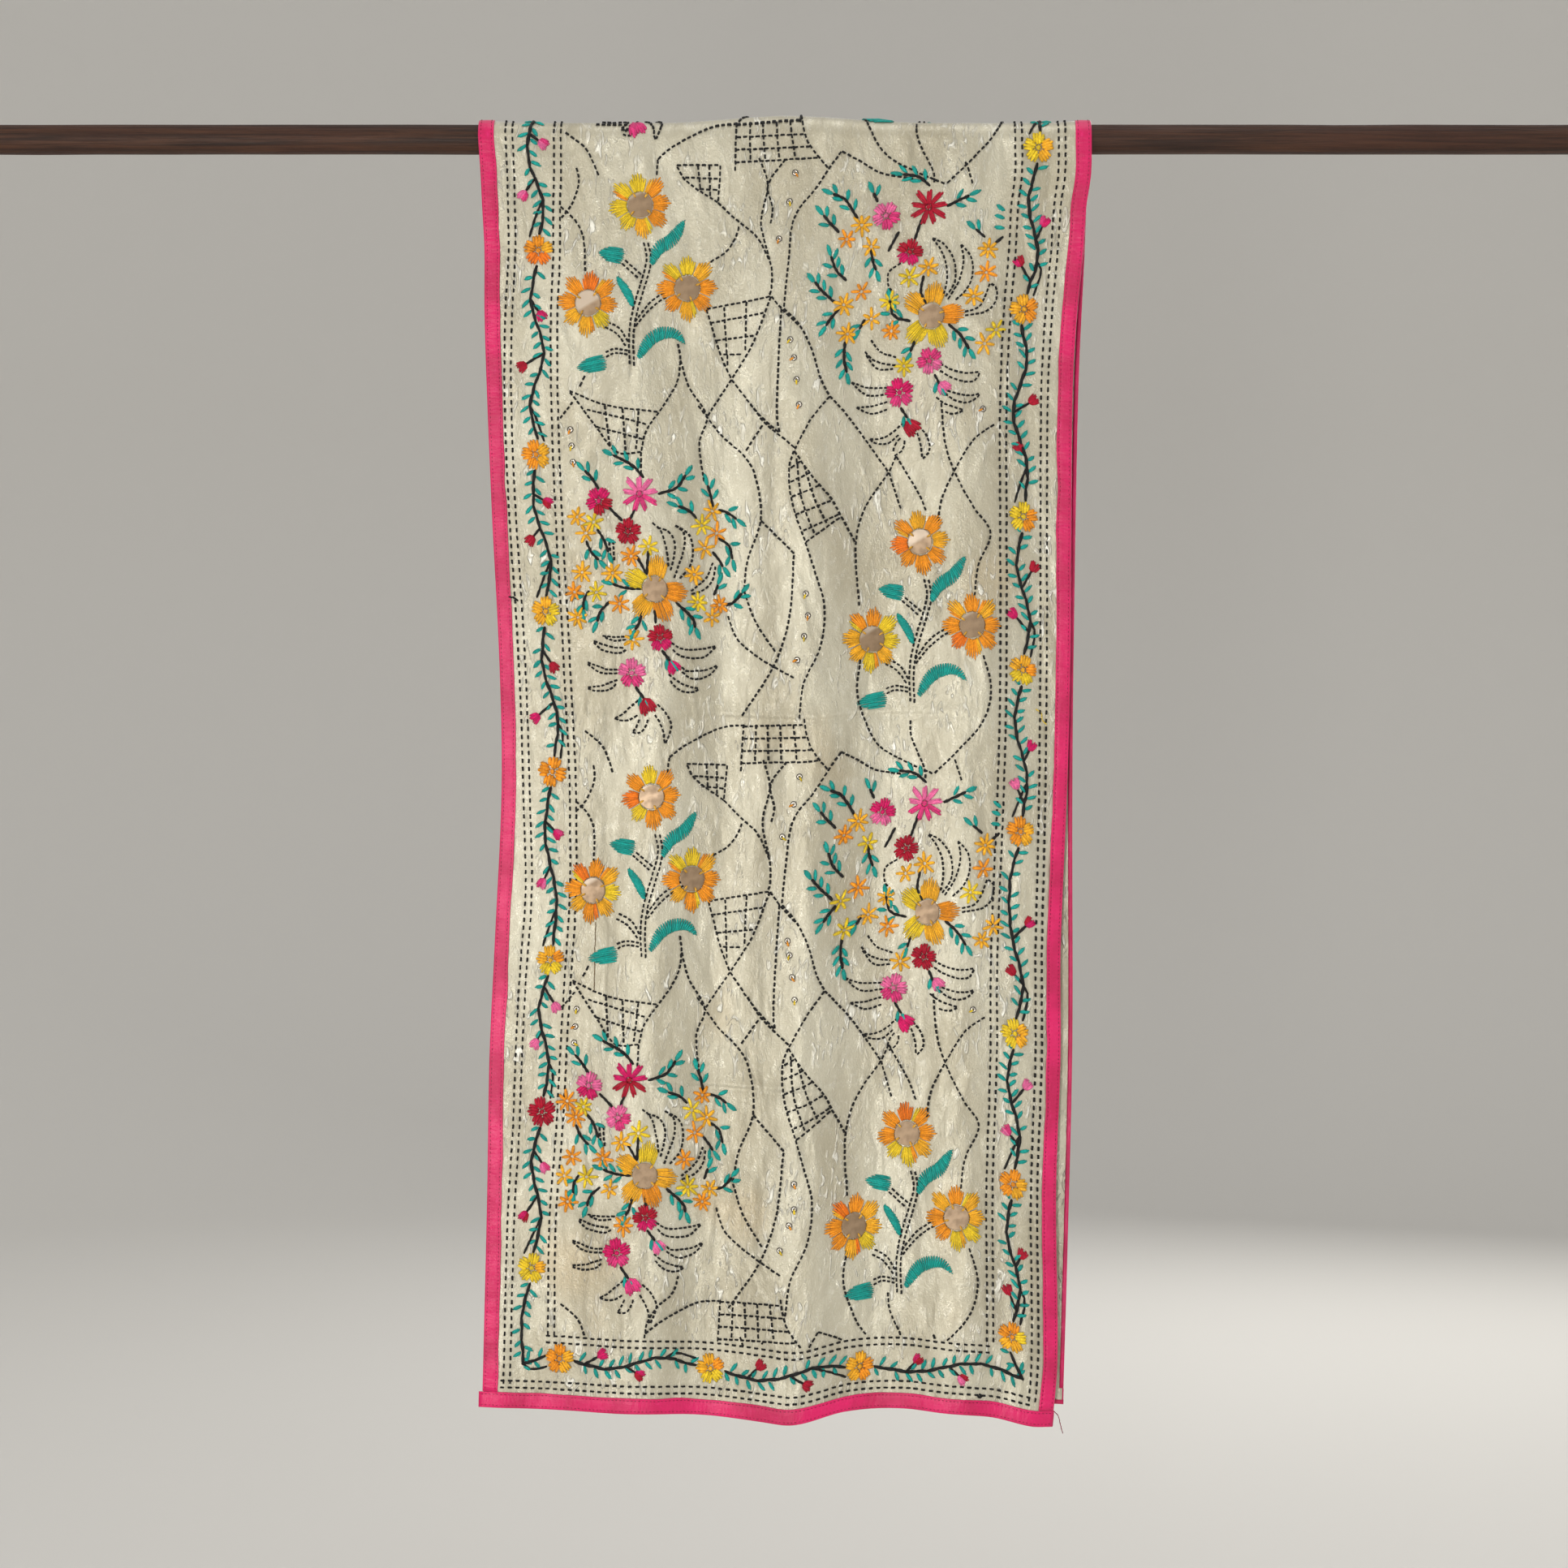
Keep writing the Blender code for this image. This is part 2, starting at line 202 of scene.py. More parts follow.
def read_curve(places, values, place):
    """Read values at a place, on a smooth curve through all of them."""
    places = np.asarray(places, float)
    values = np.asarray(values, float)
    last = len(places) - 1
    before = np.maximum(np.arange(last + 1) - 1, 0)
    after = np.minimum(np.arange(last + 1) + 1, last)
    slopes = ((values[after] - values[before]).T / (places[after] - places[before])).T
    place = np.clip(place, places[0], places[last])
    start = np.clip(np.searchsorted(places, place, side="right") - 1, 0, last - 1)
    end = start + 1
    span = places[end] - places[start]
    share = (place - places[start]) / span
    if values.ndim > 1:
        span = span[..., None]
        share = share[..., None]
    risen = ease(share)
    leaving = span * slopes[start] * share * (1 - share) ** 2
    arriving = span * slopes[end] * share**2 * (1 - share)
    return values[start] * (1 - risen) + values[end] * risen + leaving - arriving


def read_column(rows, place, column):
    """Read one column of a drop's table on a smooth curve.  Its first is the place, in mm."""
    places = [row[0] * MM for row in rows]
    values = [getattr(row, column) * MM for row in rows]
    return read_curve(places, values, place)


def circle(count):
    """Turns evenly spaced all the way round, from zero."""
    return np.linspace(0, 2 * math.pi, count, endpoint=False)


def ring_pairs(count):
    """The numbers of the points round a ring, and those of the points after them."""
    first = np.arange(count)
    return first, (first + 1) % count


def smooth_path(points, spacing):
    """Places evenly spaced on a smooth curve through the points given."""
    points = np.asarray(points, float)
    steps = np.linalg.norm(np.diff(points, axis=0), axis=1)
    reached = np.concatenate([[0], np.cumsum(steps)])
    fine = read_curve(reached, points, np.linspace(0, reached[-1], 40 * len(points)))
    steps = np.linalg.norm(np.diff(fine, axis=0), axis=1)
    reached = np.concatenate([[0], np.cumsum(steps)])
    count = max(int(round(reached[-1] / spacing)), 1)
    marks = np.linspace(0, reached[-1], count + 1)
    return np.stack([np.interp(marks, reached, fine[:, k]) for k in range(2)], -1)


# The drape, as in the solids


def turn_radius(across, angle):
    """The cloth's distance from the rod's axis, at an angle from straight up."""
    free_edge = HALF_WIDTH - BINDING_WIDTH - EDGE_EASE
    lift = EDGE_LIFT * ease((np.abs(across) - free_edge) / EDGE_EASE)
    puff = PUFF_HEIGHT * bell(across - PUFF_CENTRE, PUFF_REACH) * np.cos(angle) ** 2
    return TURN_RADIUS + lift + puff


def drop_sides(drop, below):
    """The x of a drop's left and right edge, at a distance below the rod's axis."""
    return read_column(drop.edges, below, "left"), read_column(drop.edges, below, "right")


def place_across(drop, across, below):
    """The x of a place across the cloth, between the drop's two edges."""
    left, right = drop_sides(drop, below)
    return left + (right - left) * (across + HALF_WIDTH) / CLOTH_WIDTH


def fold_depth(drop, across, below):
    """How far the drop's folds stand out from its plane, less the curl of its edges."""
    depth = np.zeros_like(across)
    share = below / (drop.length - QUARTER_TURN)
    for fold in drop.folds:
        middle = (fold.at_rod + (fold.at_hem - fold.at_rod) * share) * MM
        grown = ease((below - fold.starts * MM) / FOLD_RAMP)
        depth += fold.depth * MM * grown * bell(across - middle, fold.half_width * MM)
    left_curl = read_column(drop.edges, below, "left_curl")
    right_curl = read_column(drop.edges, below, "right_curl")
    curled = ease((np.abs(across) - HALF_WIDTH + CURL_REACH) / CURL_REACH)
    return depth - np.where(across < 0, left_curl, right_curl) * curled


def draped(across, along):
    """Places on the cloth's middle surface."""
    angle = np.clip(along, -QUARTER_TURN, QUARTER_TURN) / TURN_RADIUS
    radius = turn_radius(across, angle)
    x = place_across(FRONT, across, np.zeros_like(across))
    places = np.stack([x, radius * np.sin(angle), radius * np.cos(angle)], -1)
    for drop in (FRONT, BACK):
        share = (np.abs(along) - QUARTER_TURN) / (drop.length - QUARTER_TURN)
        below = share * read_column(drop.hem, across, "below")
        out = turn_radius(across, math.pi / 2) + fold_depth(drop, across, below)
        hanging = np.stack([place_across(drop, across, below), drop.facing * out, -below], -1)
        places = np.where((along * drop.facing > QUARTER_TURN)[..., None], hanging, places)
    return places


def cloth_middle(across, along):
    """Places on the cloth's middle surface, which is straight across a binding."""
    seam = HALF_WIDTH - BINDING_WIDTH
    side = np.sign(across)
    share = ((np.abs(across) - seam) / BINDING_WIDTH)[..., None]
    inner = draped(side * seam, along)
    outer = draped(side * HALF_WIDTH, along)
    return np.where(share > 0, inner + (outer - inner) * share, draped(across, along))


# Creases: those that are seen, then the fine puckers between them

FRONT_CREASES = tuple(
    Crease(*row)
    for row in (
        (-116, -40, 70, 9, 2, 1.4), (-92, -52, 56, 8, -6, -1.1), (-138, -48, 60, 9, 8, -1),
        (-36, -44, 74, 10, -4, 1.3), (-12, -66, 80, 11, 5, -1.1), (44, -50, 84, 10, -3, 1.3),
        (82, -64, 72, 9, 4, -1.1), (150, -46, 70, 10, -5, 1.2), (-128, -118, 70, 9, 14, 1.2),
        (-90, -128, 76, 9, -12, 1.1), (-118, -196, 90, 11, -16, 1.5), (-98, -214, 84, 9, 12, -1.2),
        (-66, -238, 110, 14, -8, 1.2), (-4, -196, 170, 9, 1, 1.2), (14, -262, 120, 12, -6, -1.1),
        (52, -236, 110, 12, 7, 1.2), (118, -226, 96, 11, -9, -1.3), (148, -246, 90, 10, 8, 1.2),
        (182, -262, 110, 12, 3, -1), (-178, -262, 96, 11, -3, 1), (-30, -322, 120, 14, 6, 1.3),
        (-52, -400, 104, 12, -10, -1.3), (-88, -438, 92, 11, 10, 1.2), (-22, -446, 110, 12, -4, 1.1),
        (18, -394, 130, 12, 4, -1.2), (46, -352, 110, 10, -8, 1.1), (98, -392, 80, 10, 10, 1.1),
        (140, -452, 100, 12, -7, -1.1), (176, -480, 110, 11, 4, 1.1), (-110, -500, 80, 10, 5, 1.2),
        (-60, -520, 90, 12, -7, -1.1), (4, -530, 120, 11, 3, 1.1), (-128, -590, 84, 9, 13, 1.2),
        (-92, -600, 70, 9, -13, 1), (-149, -690, 170, 6, 1, -1.3), (-104, -690, 86, 10, -11, 1.2),
        (-66, -716, 110, 12, 7, 1.1), (-26, -640, 120, 12, -5, -1.1), (26, -620, 130, 12, 5, 1.2),
        (60, -690, 120, 12, -6, -1.2), (122, -702, 96, 11, 9, 1.2), (168, -720, 120, 12, -4, -1),
        (-22, -760, 100, 11, 8, 1.1), (18, -806, 110, 11, -7, 1), (-70, -812, 90, 10, 9, 1.2),
        (-140, -846, 90, 10, -8, -1), (-44, -884, 110, 12, 4, -1.2), (6, -916, 120, 12, -4, 1.1),
        (48, -846, 96, 11, 9, 1), (104, -874, 84, 10, -11, 1.1), (136, -944, 96, 11, 7, -1.1),
        (178, -922, 110, 11, -3, 1), (-96, -948, 90, 11, -8, 1.1), (-170, -966, 80, 10, 5, -1),
    )
)

# Where the stole was folded away: straight lines right across, or down part of it
PACKING_CREASES = tuple(
    Crease(*row)
    for row in (
        (0, -481, 520, 1.9, 90, 0.8), (20, -484.5, 480, 1.9, 90, -0.6), (-10, -777, 500, 1.9, 90, -0.8),
        (-40, -780.5, 420, 1.9, 90, 0.6), (-3, -290, 240, 5, 0, 0.9), (-33, -612, 44, 4, 62, -0.9),
        (0, 474, 470, 3.2, 90, -1), (10, 777, 450, 3.2, 90, -1), (2, 330, 280, 5, 0, 0.9),
    )
)

PUCKER_SEED = 11
PUCKER_COUNT = 430
DRAWN_PUCKERS = 9
MIRROR_CALM = 17 * MM


def crease_height(crease, across, along):
    """How far one crease lifts the cloth at places on it."""
    lean = math.radians(crease.lean)
    over = across - crease.across * MM
    down = along - crease.along * MM
    aside = over * math.cos(lean) + down * math.sin(lean)
    lengthways = down * math.cos(lean) - over * math.sin(lean)
    taper = bell(lengthways, crease.length * MM / 2)
    return crease.depth * MM * taper * np.exp(-((aside / (crease.width * MM)) ** 2))


def add_crease(height, crease, across, along):
    """Add a crease to the grid of heights, only where it reaches."""
    reach = (crease.length / 2 + 3 * crease.width) * MM
    columns = np.flatnonzero(np.abs(across[0] - crease.across * MM) < reach)
    rows = np.flatnonzero(np.abs(along[:, 0] - crease.along * MM) < reach)
    if len(columns) and len(rows):
        part = np.ix_(rows, columns)
        height[part] += crease_height(crease, across[part], along[part])


def all_creases(mirrors):
    """The creases that are seen and those behind them, where the stole was folded away,
    the puckers all over it, then those that each mirror's stitches draw."""
    shift = 2 * PATTERN_REPEAT / MM
    for crease in FRONT_CREASES:
        yield crease
        along = min(crease.along + shift, -crease.along)
        yield crease._replace(along=along, across=-crease.across, lean=crease.lean + 3)
    yield from PACKING_CREASES
    rng = np.random.default_rng(PUCKER_SEED)
    for _ in range(PUCKER_COUNT):
        across, along = rng.uniform(-236, 236), rng.uniform(-1030, 1025)
        length, width = rng.uniform(22, 76), rng.uniform(4, 9)
        lean, sign = rng.normal(0, 17), rng.choice((-1, 1))
        yield Crease(across, along, length, width, lean, sign * rng.uniform(0.2, 0.6))
    for across, along in mirrors:
        for _ in range(DRAWN_PUCKERS):
            lean, length = rng.normal(0, 30), rng.uniform(24, 46)
            away = rng.choice((-1, 1)) * (20 + length / 2)
            yield Crease(
                across / MM - away * math.sin(math.radians(lean)),
                along / MM + away * math.cos(math.radians(lean)),
                length,
                rng.uniform(3.4, 5),
                lean,
                rng.choice((-1, 1)) * rng.uniform(0.6, 1.1),
            )


def crumple(across, along, mirrors):
    """How far the creases lift the cloth off its drape, over the whole grid.

    They're weaker over the rod and in the bindings, and there are none in a mirror's seat.
    """
    height = np.zeros_like(across)
    for crease in all_creases(mirrors):
        add_crease(height, crease, across, along)
    for mirror in mirrors:
        distance = np.hypot(across - mirror[0], along - mirror[1])
        height *= 1 - bell(distance, MIRROR_CALM)
    lifted = 0.35 + 0.65 * ease((np.abs(along) - 0.4 * QUARTER_TURN) / (1.4 * QUARTER_TURN))
    seam = HALF_WIDTH - BINDING_WIDTH
    held = 1 - 0.7 * ease((np.abs(across) - seam + 15 * MM) / (20 * MM))
    return height * held * lifted


def grid_directions(points):
    """The cloth's outward direction at each point of the grid."""
    lengthways, sideways = np.gradient(points, axis=(0, 1))
    face = np.cross(sideways, lengthways)
    return face / np.linalg.norm(face, axis=-1, keepdims=True)


# The flowers that hold a mirror, down the front drop, and again down the back one.
# Each row of four is a spray's top, left and right one, and then a bouquet's.
FRONT_MIRRORS = (
    (-116.7, -75.4), (-159.2, -153.7), (-77.9, -141.7), (123.9, -164.2),
    (116.8, -345.6), (74.6, -423.3), (159.8, -411.7), (-109.0, -383.1),
    (-114.1, -549.1), (-161.2, -624.7), (-76.8, -614.2), (128.2, -642.7),
    (115.1, -821.3), (70.6, -894.0), (158.4, -885.4), (-109.2, -851.6),
)


def all_mirrors():
    """The middles of the front drop's mirrors and then the back one's, in metres."""
    places = [(across * MM, along * MM) for across, along in FRONT_MIRRORS]
    return places + [(across, along + 2 * PATTERN_REPEAT) for across, along in places]


def grid_rows():
    """Where the grid's rows lie: closer over the rod and by each packing crease."""
    drop = np.linspace(30, 1030, 166)
    rows = [[-FRONT_LENGTH / MM, -1037, BACK_LENGTH / MM, 1034], np.linspace(-27, 27, 20), drop, -drop]
    for crease in PACKING_CREASES:
        if crease.lean == 90:
            rows.append(crease.along + np.array((-1.7, 0, 1.7)))
    rows = np.unique(np.concatenate(rows))
    kept = np.concatenate([[True], np.diff(rows) > 0.9])
    return rows[kept] * MM


GRID_ACROSS = np.linspace(-HALF_WIDTH, HALF_WIDTH, GRID_COLUMNS)
GRID_ALONG = grid_rows()
GRID_ROWS = len(GRID_ALONG)


def make_grid():
    """The crumpled cloth's middle surface, and its outward direction, over the grid."""
    across, along = np.meshgrid(GRID_ACROSS, GRID_ALONG)
    smooth = cloth_middle(across, along)
    height = crumple(across, along, all_mirrors())
    points = smooth + grid_directions(smooth) * height[..., None]
    return points, grid_directions(points)


GRID_POINTS, GRID_FACES = make_grid()


def cloth_point(across, along, out):
    """Places so far out from the cloth's middle surface, read between the grid's points."""
    across, along, out = np.broadcast_arrays(across, along, out)
    i = np.clip(np.searchsorted(GRID_ACROSS, across, "right") - 1, 0, GRID_COLUMNS - 2)
    j = np.clip(np.searchsorted(GRID_ALONG, along, "right") - 1, 0, GRID_ROWS - 2)
    u = ((across - GRID_ACROSS[i]) / (GRID_ACROSS[i + 1] - GRID_ACROSS[i]))[..., None]
    v = ((along - GRID_ALONG[j]) / (GRID_ALONG[j + 1] - GRID_ALONG[j]))[..., None]

    def between(values):
        near = values[j, i] * (1 - u) + values[j, i + 1] * u
        far = values[j + 1, i] * (1 - u) + values[j + 1, i + 1] * u
        return near * (1 - v) + far * v

    return between(GRID_POINTS) + between(GRID_FACES) * out[..., None]


# Making a piece from arrays


def add_object(name, data):
    """Put a mesh, a light or a camera in the scene."""
    made = bpy.data.objects.new(name, data)
    bpy.context.scene.collection.objects.link(made)
    return made


def new_piece(name, points, faces, material, attributes=None, smooth=True):
    """Make a mesh piece that rides on the part.

    Faces is a list of arrays, each of faces with the same number of corners.
    Attributes holds a three-number value for every point, by name.
    """
    mesh = bpy.data.meshes.new(name)
    points = np.asarray(points, np.float32).reshape(-1, 3)
    faces = [np.asarray(part, np.int32) for part in faces]
    corners = np.concatenate([part.ravel() for part in faces])
    sizes = np.concatenate([np.full(len(part), part.shape[1]) for part in faces])
    starts = np.concatenate([[0], np.cumsum(sizes)[:-1]])
    mesh.vertices.add(len(points))
    mesh.vertices.foreach_set("co", points.ravel())
    mesh.loops.add(len(corners))
    mesh.loops.foreach_set("vertex_index", corners)
    mesh.polygons.add(len(sizes))
    mesh.polygons.foreach_set("loop_start", starts.astype(np.int32))
    mesh.update(calc_edges=True)
    for label, values in (attributes or {}).items():
        attribute = mesh.attributes.new(label, "FLOAT_VECTOR", "POINT")
        attribute.data.foreach_set("vector", np.asarray(values, np.float32).ravel())
    if smooth:
        mesh.shade_smooth()
    mesh.materials.append(material)
    piece = add_object(name, mesh)
    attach(piece, "root")
    return piece


def grid_quads(rows, columns, wrap_rows=False, wrap_columns=False, start=0):
    """The quads between the points of a grid, which are numbered row by row."""
    j = np.arange(rows if wrap_rows else rows - 1)[:, None]
    i = np.arange(columns if wrap_columns else columns - 1)[None, :]
    later = (j + 1) % rows
    beside = (i + 1) % columns
    corners = ((j, i), (j, beside), (later, beside), (later, i))
    return np.stack([row * columns + column for row, column in corners], -1).reshape(-1, 4) + start


# Materials


class Look:
    """A material's nodes, made one at a time."""

    def __init__(self, name, **values):
        """Values are the shader's own, with _ for each space in their names."""
        self.material = bpy.data.materials.new(name)
        self.material.use_nodes = True
        self.tree = self.material.node_tree
        self.shader = self.tree.nodes["Principled BSDF"]
        for socket, value in values.items():
            self.shader.inputs[socket.replace("_", " ")].default_value = value

    def node(self, kind, settings=None, **inputs):
        """Make a node.  An input is a value or another node's output."""
        made = self.tree.nodes.new(kind)
        for key, value in (settings or {}).items():
            setattr(made, key, value)
        for key, value in inputs.items():
            found = made.inputs[int(key[1:])] if key[0] == "i" else made.inputs[key]
            if isinstance(value, bpy.types.NodeSocket):
                self.tree.links.new(value, found)
            else:
                found.default_value = value
        return made

    def attribute(self, name):
        return self.node("ShaderNodeAttribute", {"attribute_name": name}).outputs["Vector"]

    def noise(self, place, stretch, scale, detail, roughness=0.5, distortion=0.0, offset=(0, 0, 0)):
        """Noise over a place.  It's drawn out along an axis whose stretch is under 1."""
        if stretch:
            mapping = self.node("ShaderNodeMapping", Vector=place, Scale=stretch, Location=offset)
            place = mapping.outputs["Vector"]
        numbers = {"Scale": scale, "Detail": detail, "Roughness": roughness, "Distortion": distortion}
        return self.node("ShaderNodeTexNoise", Vector=place, **numbers).outputs["Fac"]

    def math(self, operation, first, second=0.0):
        return self.node("ShaderNodeMath", {"operation": operation}, i0=first, i1=second).outputs[0]

    def remap(self, value, low, high, to_low=0.0, to_high=1.0):
        """Rise smoothly from to_low to to_high as the value goes from low to high."""
        limits = {"From Min": low, "From Max": high, "To Min": to_low, "To Max": to_high}
        smooth = {"interpolation_type": "SMOOTHSTEP"}
        return self.node("ShaderNodeMapRange", smooth, Value=value, **limits).outputs["Result"]

    def mix(self, share, first, second, blend="MIX"):
        settings = {"data_type": "RGBA", "blend_type": blend}
        return self.node("ShaderNodeMix", settings, i0=share, i6=first, i7=second).outputs[2]

    def layered(self, base, layers):
        """Lay colours over a base.  Each layer's noise, where it starts, where it's full,
        its share when full and its colour."""
        for noise, low, high, share, over in layers:
            base = self.mix(self.remap(noise, low, high, 0, share), base, over)
        return base

    def wire(self, socket, value):
        self.tree.links.new(value, self.shader.inputs[socket])

    def bump(self, heights):
        """Stack bumps, each a (height, distance in metres) pair, and wire up the last."""
        normal = None
        for height, distance in heights:
            made = self.node("ShaderNodeBump", Height=height, Distance=distance, Strength=1.0)
            if normal is not None:
                self.tree.links.new(normal, made.inputs["Normal"])
            normal = made.outputs["Normal"]
        self.wire("Normal", normal)


def colour(red, green, blue):
    """An opaque colour from its usual 0 to 255 screen values."""
    linear = [((c / 255 + 0.055) / 1.055) ** 2.4 if c > 10 else c / 3295 for c in (red, green, blue)]
    return (*linear, 1.0)


CREAM = colour(197, 191, 170)
DEEP_CREAM = colour(178, 170, 147)
PALE_CREAM = colour(247, 245, 234)
STAIN = colour(192, 173, 138)
SILK_SHEEN = {"Sheen_Weight": 0.25, "Sheen_Roughness": 0.35}
THREAD_SHEEN = {"Sheen_Weight": 0.06, "Sheen_Roughness": 0.4}


def silk_look():
    """Thin crushed silk: a warm cream ground with pale, shiny slubs that run lengthways, and painted
    highlights on its crinkles.
    """
    look = Look("cream_silk", Roughness=0.38, Metallic=0.28, Specular_IOR_Level=0.6, **SILK_SHEEN)
    flat = look.attribute("flat_place")
    patches = look.noise(flat, (1, 0.5, 1), 14, 3, 0.55)
    slubs = look.noise(flat, (1, 0.3, 1), 620, 2, 0.6)
    streaks = look.noise(flat, (1, 0.4, 1), 150, 3, 0.6, distortion=0.3)
    busy = look.remap(look.noise(flat, (1, 0.6, 1), 24, 3, 0.55, offset=(7, 2, 0)), 0.44, 0.62)
    folds = look.noise(flat, (1, 0.4, 1), 44, 2, 0.5, distortion=0.4)
    ridges = look.noise(flat, (1, 0.34, 1), 180, 2, 0.5, distortion=1.2, offset=(2, 9, 0))
    crinkle = look.math("MULTIPLY", look.remap(ridges, 0.54, 0.7), busy)
    fine = look.noise(flat, (1, 0.7, 1), 640, 3, 0.6)
    stains = look.noise(flat, (1, 0.8, 1), 9, 2, 0.5, offset=(3, 5, 0))
    weave = look.noise(flat, (0.12, 1, 1), 2600, 1)
    layers = (
        (patches, 0.35, 0.68, 1, DEEP_CREAM),
        (stains, 0.6, 0.78, 0.5, STAIN),
        (slubs, 0.56, 0.74, 0.3, PALE_CREAM),
        (streaks, 0.5, 0.72, 0.12, PALE_CREAM),
    )
    # Painted highlights: the crinkles' ridges are mixed towards pale cream
    painted_glint = look.math("MULTIPLY", crinkle, 0.75)
    look.wire("Base Color", look.mix(painted_glint, look.layered(CREAM, layers), PALE_CREAM))
    look.wire("Roughness", look.remap(streaks, 0.35, 0.7, 0.42, 0.24))
    look.bump([(folds, 0.0042), (crinkle, 0.001), (streaks, 0.0003), (fine, 0.0004), (weave, 0.00012)])
    return look.material


def ribbon_look():
    """Hot pink satin ribbon with fine ribs along it."""
    look = Look("pink_ribbon", Roughness=0.38, Sheen_Weight=0.15, Specular_IOR_Level=0.45)
    ribbon = look.attribute("ribbon_place")
    patches = look.noise(ribbon, (1, 1, 1), 22, 3, 0.6)
    ribs = look.noise(ribbon, (1, 0.04, 1), 2400, 1)
    crinkle = look.noise(ribbon, (0.35, 1, 1), 170, 3, 0.6)
    # Small paler pink streaks that run along the ribbon
    pale_streaks = look.noise(ribbon, (1, 0.3, 1), 420, 2, 0.6)
    layers = (
        (patches, 0.35, 0.65, 1, colour(196, 4, 82)),
        (pale_streaks, 0.58, 0.76, 0.3, colour(238, 52, 136)),
    )
    look.wire("Base Color", look.layered(colour(224, 8, 100), layers))
    look.wire("Roughness", look.remap(patches, 0.3, 0.7, 0.33, 0.48))
    look.bump([(crinkle, 0.0008), (ribs, 0.00015)])
    return look.material


def wood_look():
    """Dark brown wood, with its grain along the rod."""
    look = Look("rod_wood", Roughness=0.5, Specular_IOR_Level=0.3)
    place = look.attribute("rod_place")
    grain = look.noise(place, (0.03, 1, 1), 260, 5, 0.65, distortion=0.6)
    fine = look.noise(place, (0.02, 1, 1), 900, 3, 0.6)
    patches = look.noise(place, (0.25, 1, 1), 26, 2)
    pores = look.noise(place, (0.05, 1, 1), 1700, 2)
    layers = (
        (grain, 0.3, 0.72, 1, colour(80, 49, 31)),
        (fine, 0.45, 0.75, 0.55, colour(32, 19, 13)),
        (patches, 0.4, 0.75, 0.4, colour(64, 34, 23)),
        (pores, 0.6, 0.78, 0.6, colour(20, 12, 9)),
    )
    look.wire("Base Color", look.layered(colour(40, 23, 14), layers))
    look.wire("Roughness", look.remap(fine, 0.3, 0.7, 0.45, 0.62))
    look.bump([(grain, 0.0006), (pores, 0.0003)])
    return look.material


def mirror_look():
    """Old mirror glass, brown-grey and a little cloudy, with a painted reflection: paler where it shines,
    towards its upper left.

    Its attribute holds how far right and up of the mirror's middle a place is, from -1
    to 1, and how strong that mirror's painted reflection is.
    """
    look = Look("mirror_glass", Roughness=0.3, Metallic=0.36)
    place = look.attribute("mirror_place")
    split = look.node("ShaderNodeSeparateXYZ", Vector=place)
    # Painted reflection: paler towards the upper left, and more so on the mirrors given a higher level
    slope = look.math("SUBTRACT", split.outputs["Y"], look.math("MULTIPLY", split.outputs["X"], 0.6))
    shine = look.math("ADD", split.outputs["Z"], look.math("MULTIPLY", slope, 0.4))
    cloud = look.noise(place, None, 1.6, 3)
    layers = (
        (cloud, 0.35, 0.7, 1, colour(138, 114, 88)),
        (shine, 0.5, 0.66, 1, colour(190, 172, 152)),
    )
    look.wire("Base Color", look.layered(colour(160, 134, 106), layers))
    look.wire("Roughness", look.remap(cloud, 0.3, 0.7, 0.3, 0.42))
    return look.material


def thread_look():
    """Glossy stranded thread, in the colour of each stitch, with painted shade along its plies and patches
    of painted sheen.
    """
    look = Look("embroidery_thread", Roughness=0.5, Specular_IOR_Level=0.35, **THREAD_SHEEN)
    dye = look.attribute("dye")
    strand = look.attribute("strand")
    plies = look.noise(strand, (1, 0.16, 1), 3.2, 2, 0.6)
    patches = look.noise(strand, (0.3, 0.5, 1), 1.2, 2)
    # Painted shade: the dye is darkened along the plies
    ply_shaded = look.mix(look.remap(plies, 0.25, 0.6, 0.45, 0), dye, colour(96, 70, 60), "MULTIPLY")
    # Painted sheen: patches along each thread are mixed towards a brighter copy of its colour
    painted_sheen = look.mix(1.0, ply_shaded, (1.35, 1.35, 1.3, 1), "MULTIPLY")
    light = look.mix(look.remap(patches, 0.45, 0.75, 0, 1), ply_shaded, painted_sheen)
    look.wire("Base Color", light)
    look.bump([(plies, 0.0005)])
    return look.material


def bead_look():
    """Clear glass with a grey-violet shine, painted dark towards its edge as seen."""
    look = Look("bead_glass", Roughness=0.14, Metallic=0.9, Coat_Weight=0.6)
    # Painted shade: the bead is darkened towards its edge as seen from the camera
    rim = look.node("ShaderNodeLayerWeight", Blend=0.62).outputs["Facing"]
    layers = ((rim, 0.08, 0.42, 1, colour(20, 17, 17)),)
    look.wire("Base Color", look.layered(colour(196, 188, 176), layers))
    return look.material


SILK = silk_look()
RIBBON = ribbon_look()
WOOD = wood_look()
GLASS = mirror_look()
THREAD = thread_look()
BEAD = bead_look()


# The cloth, its ribbons and the rod


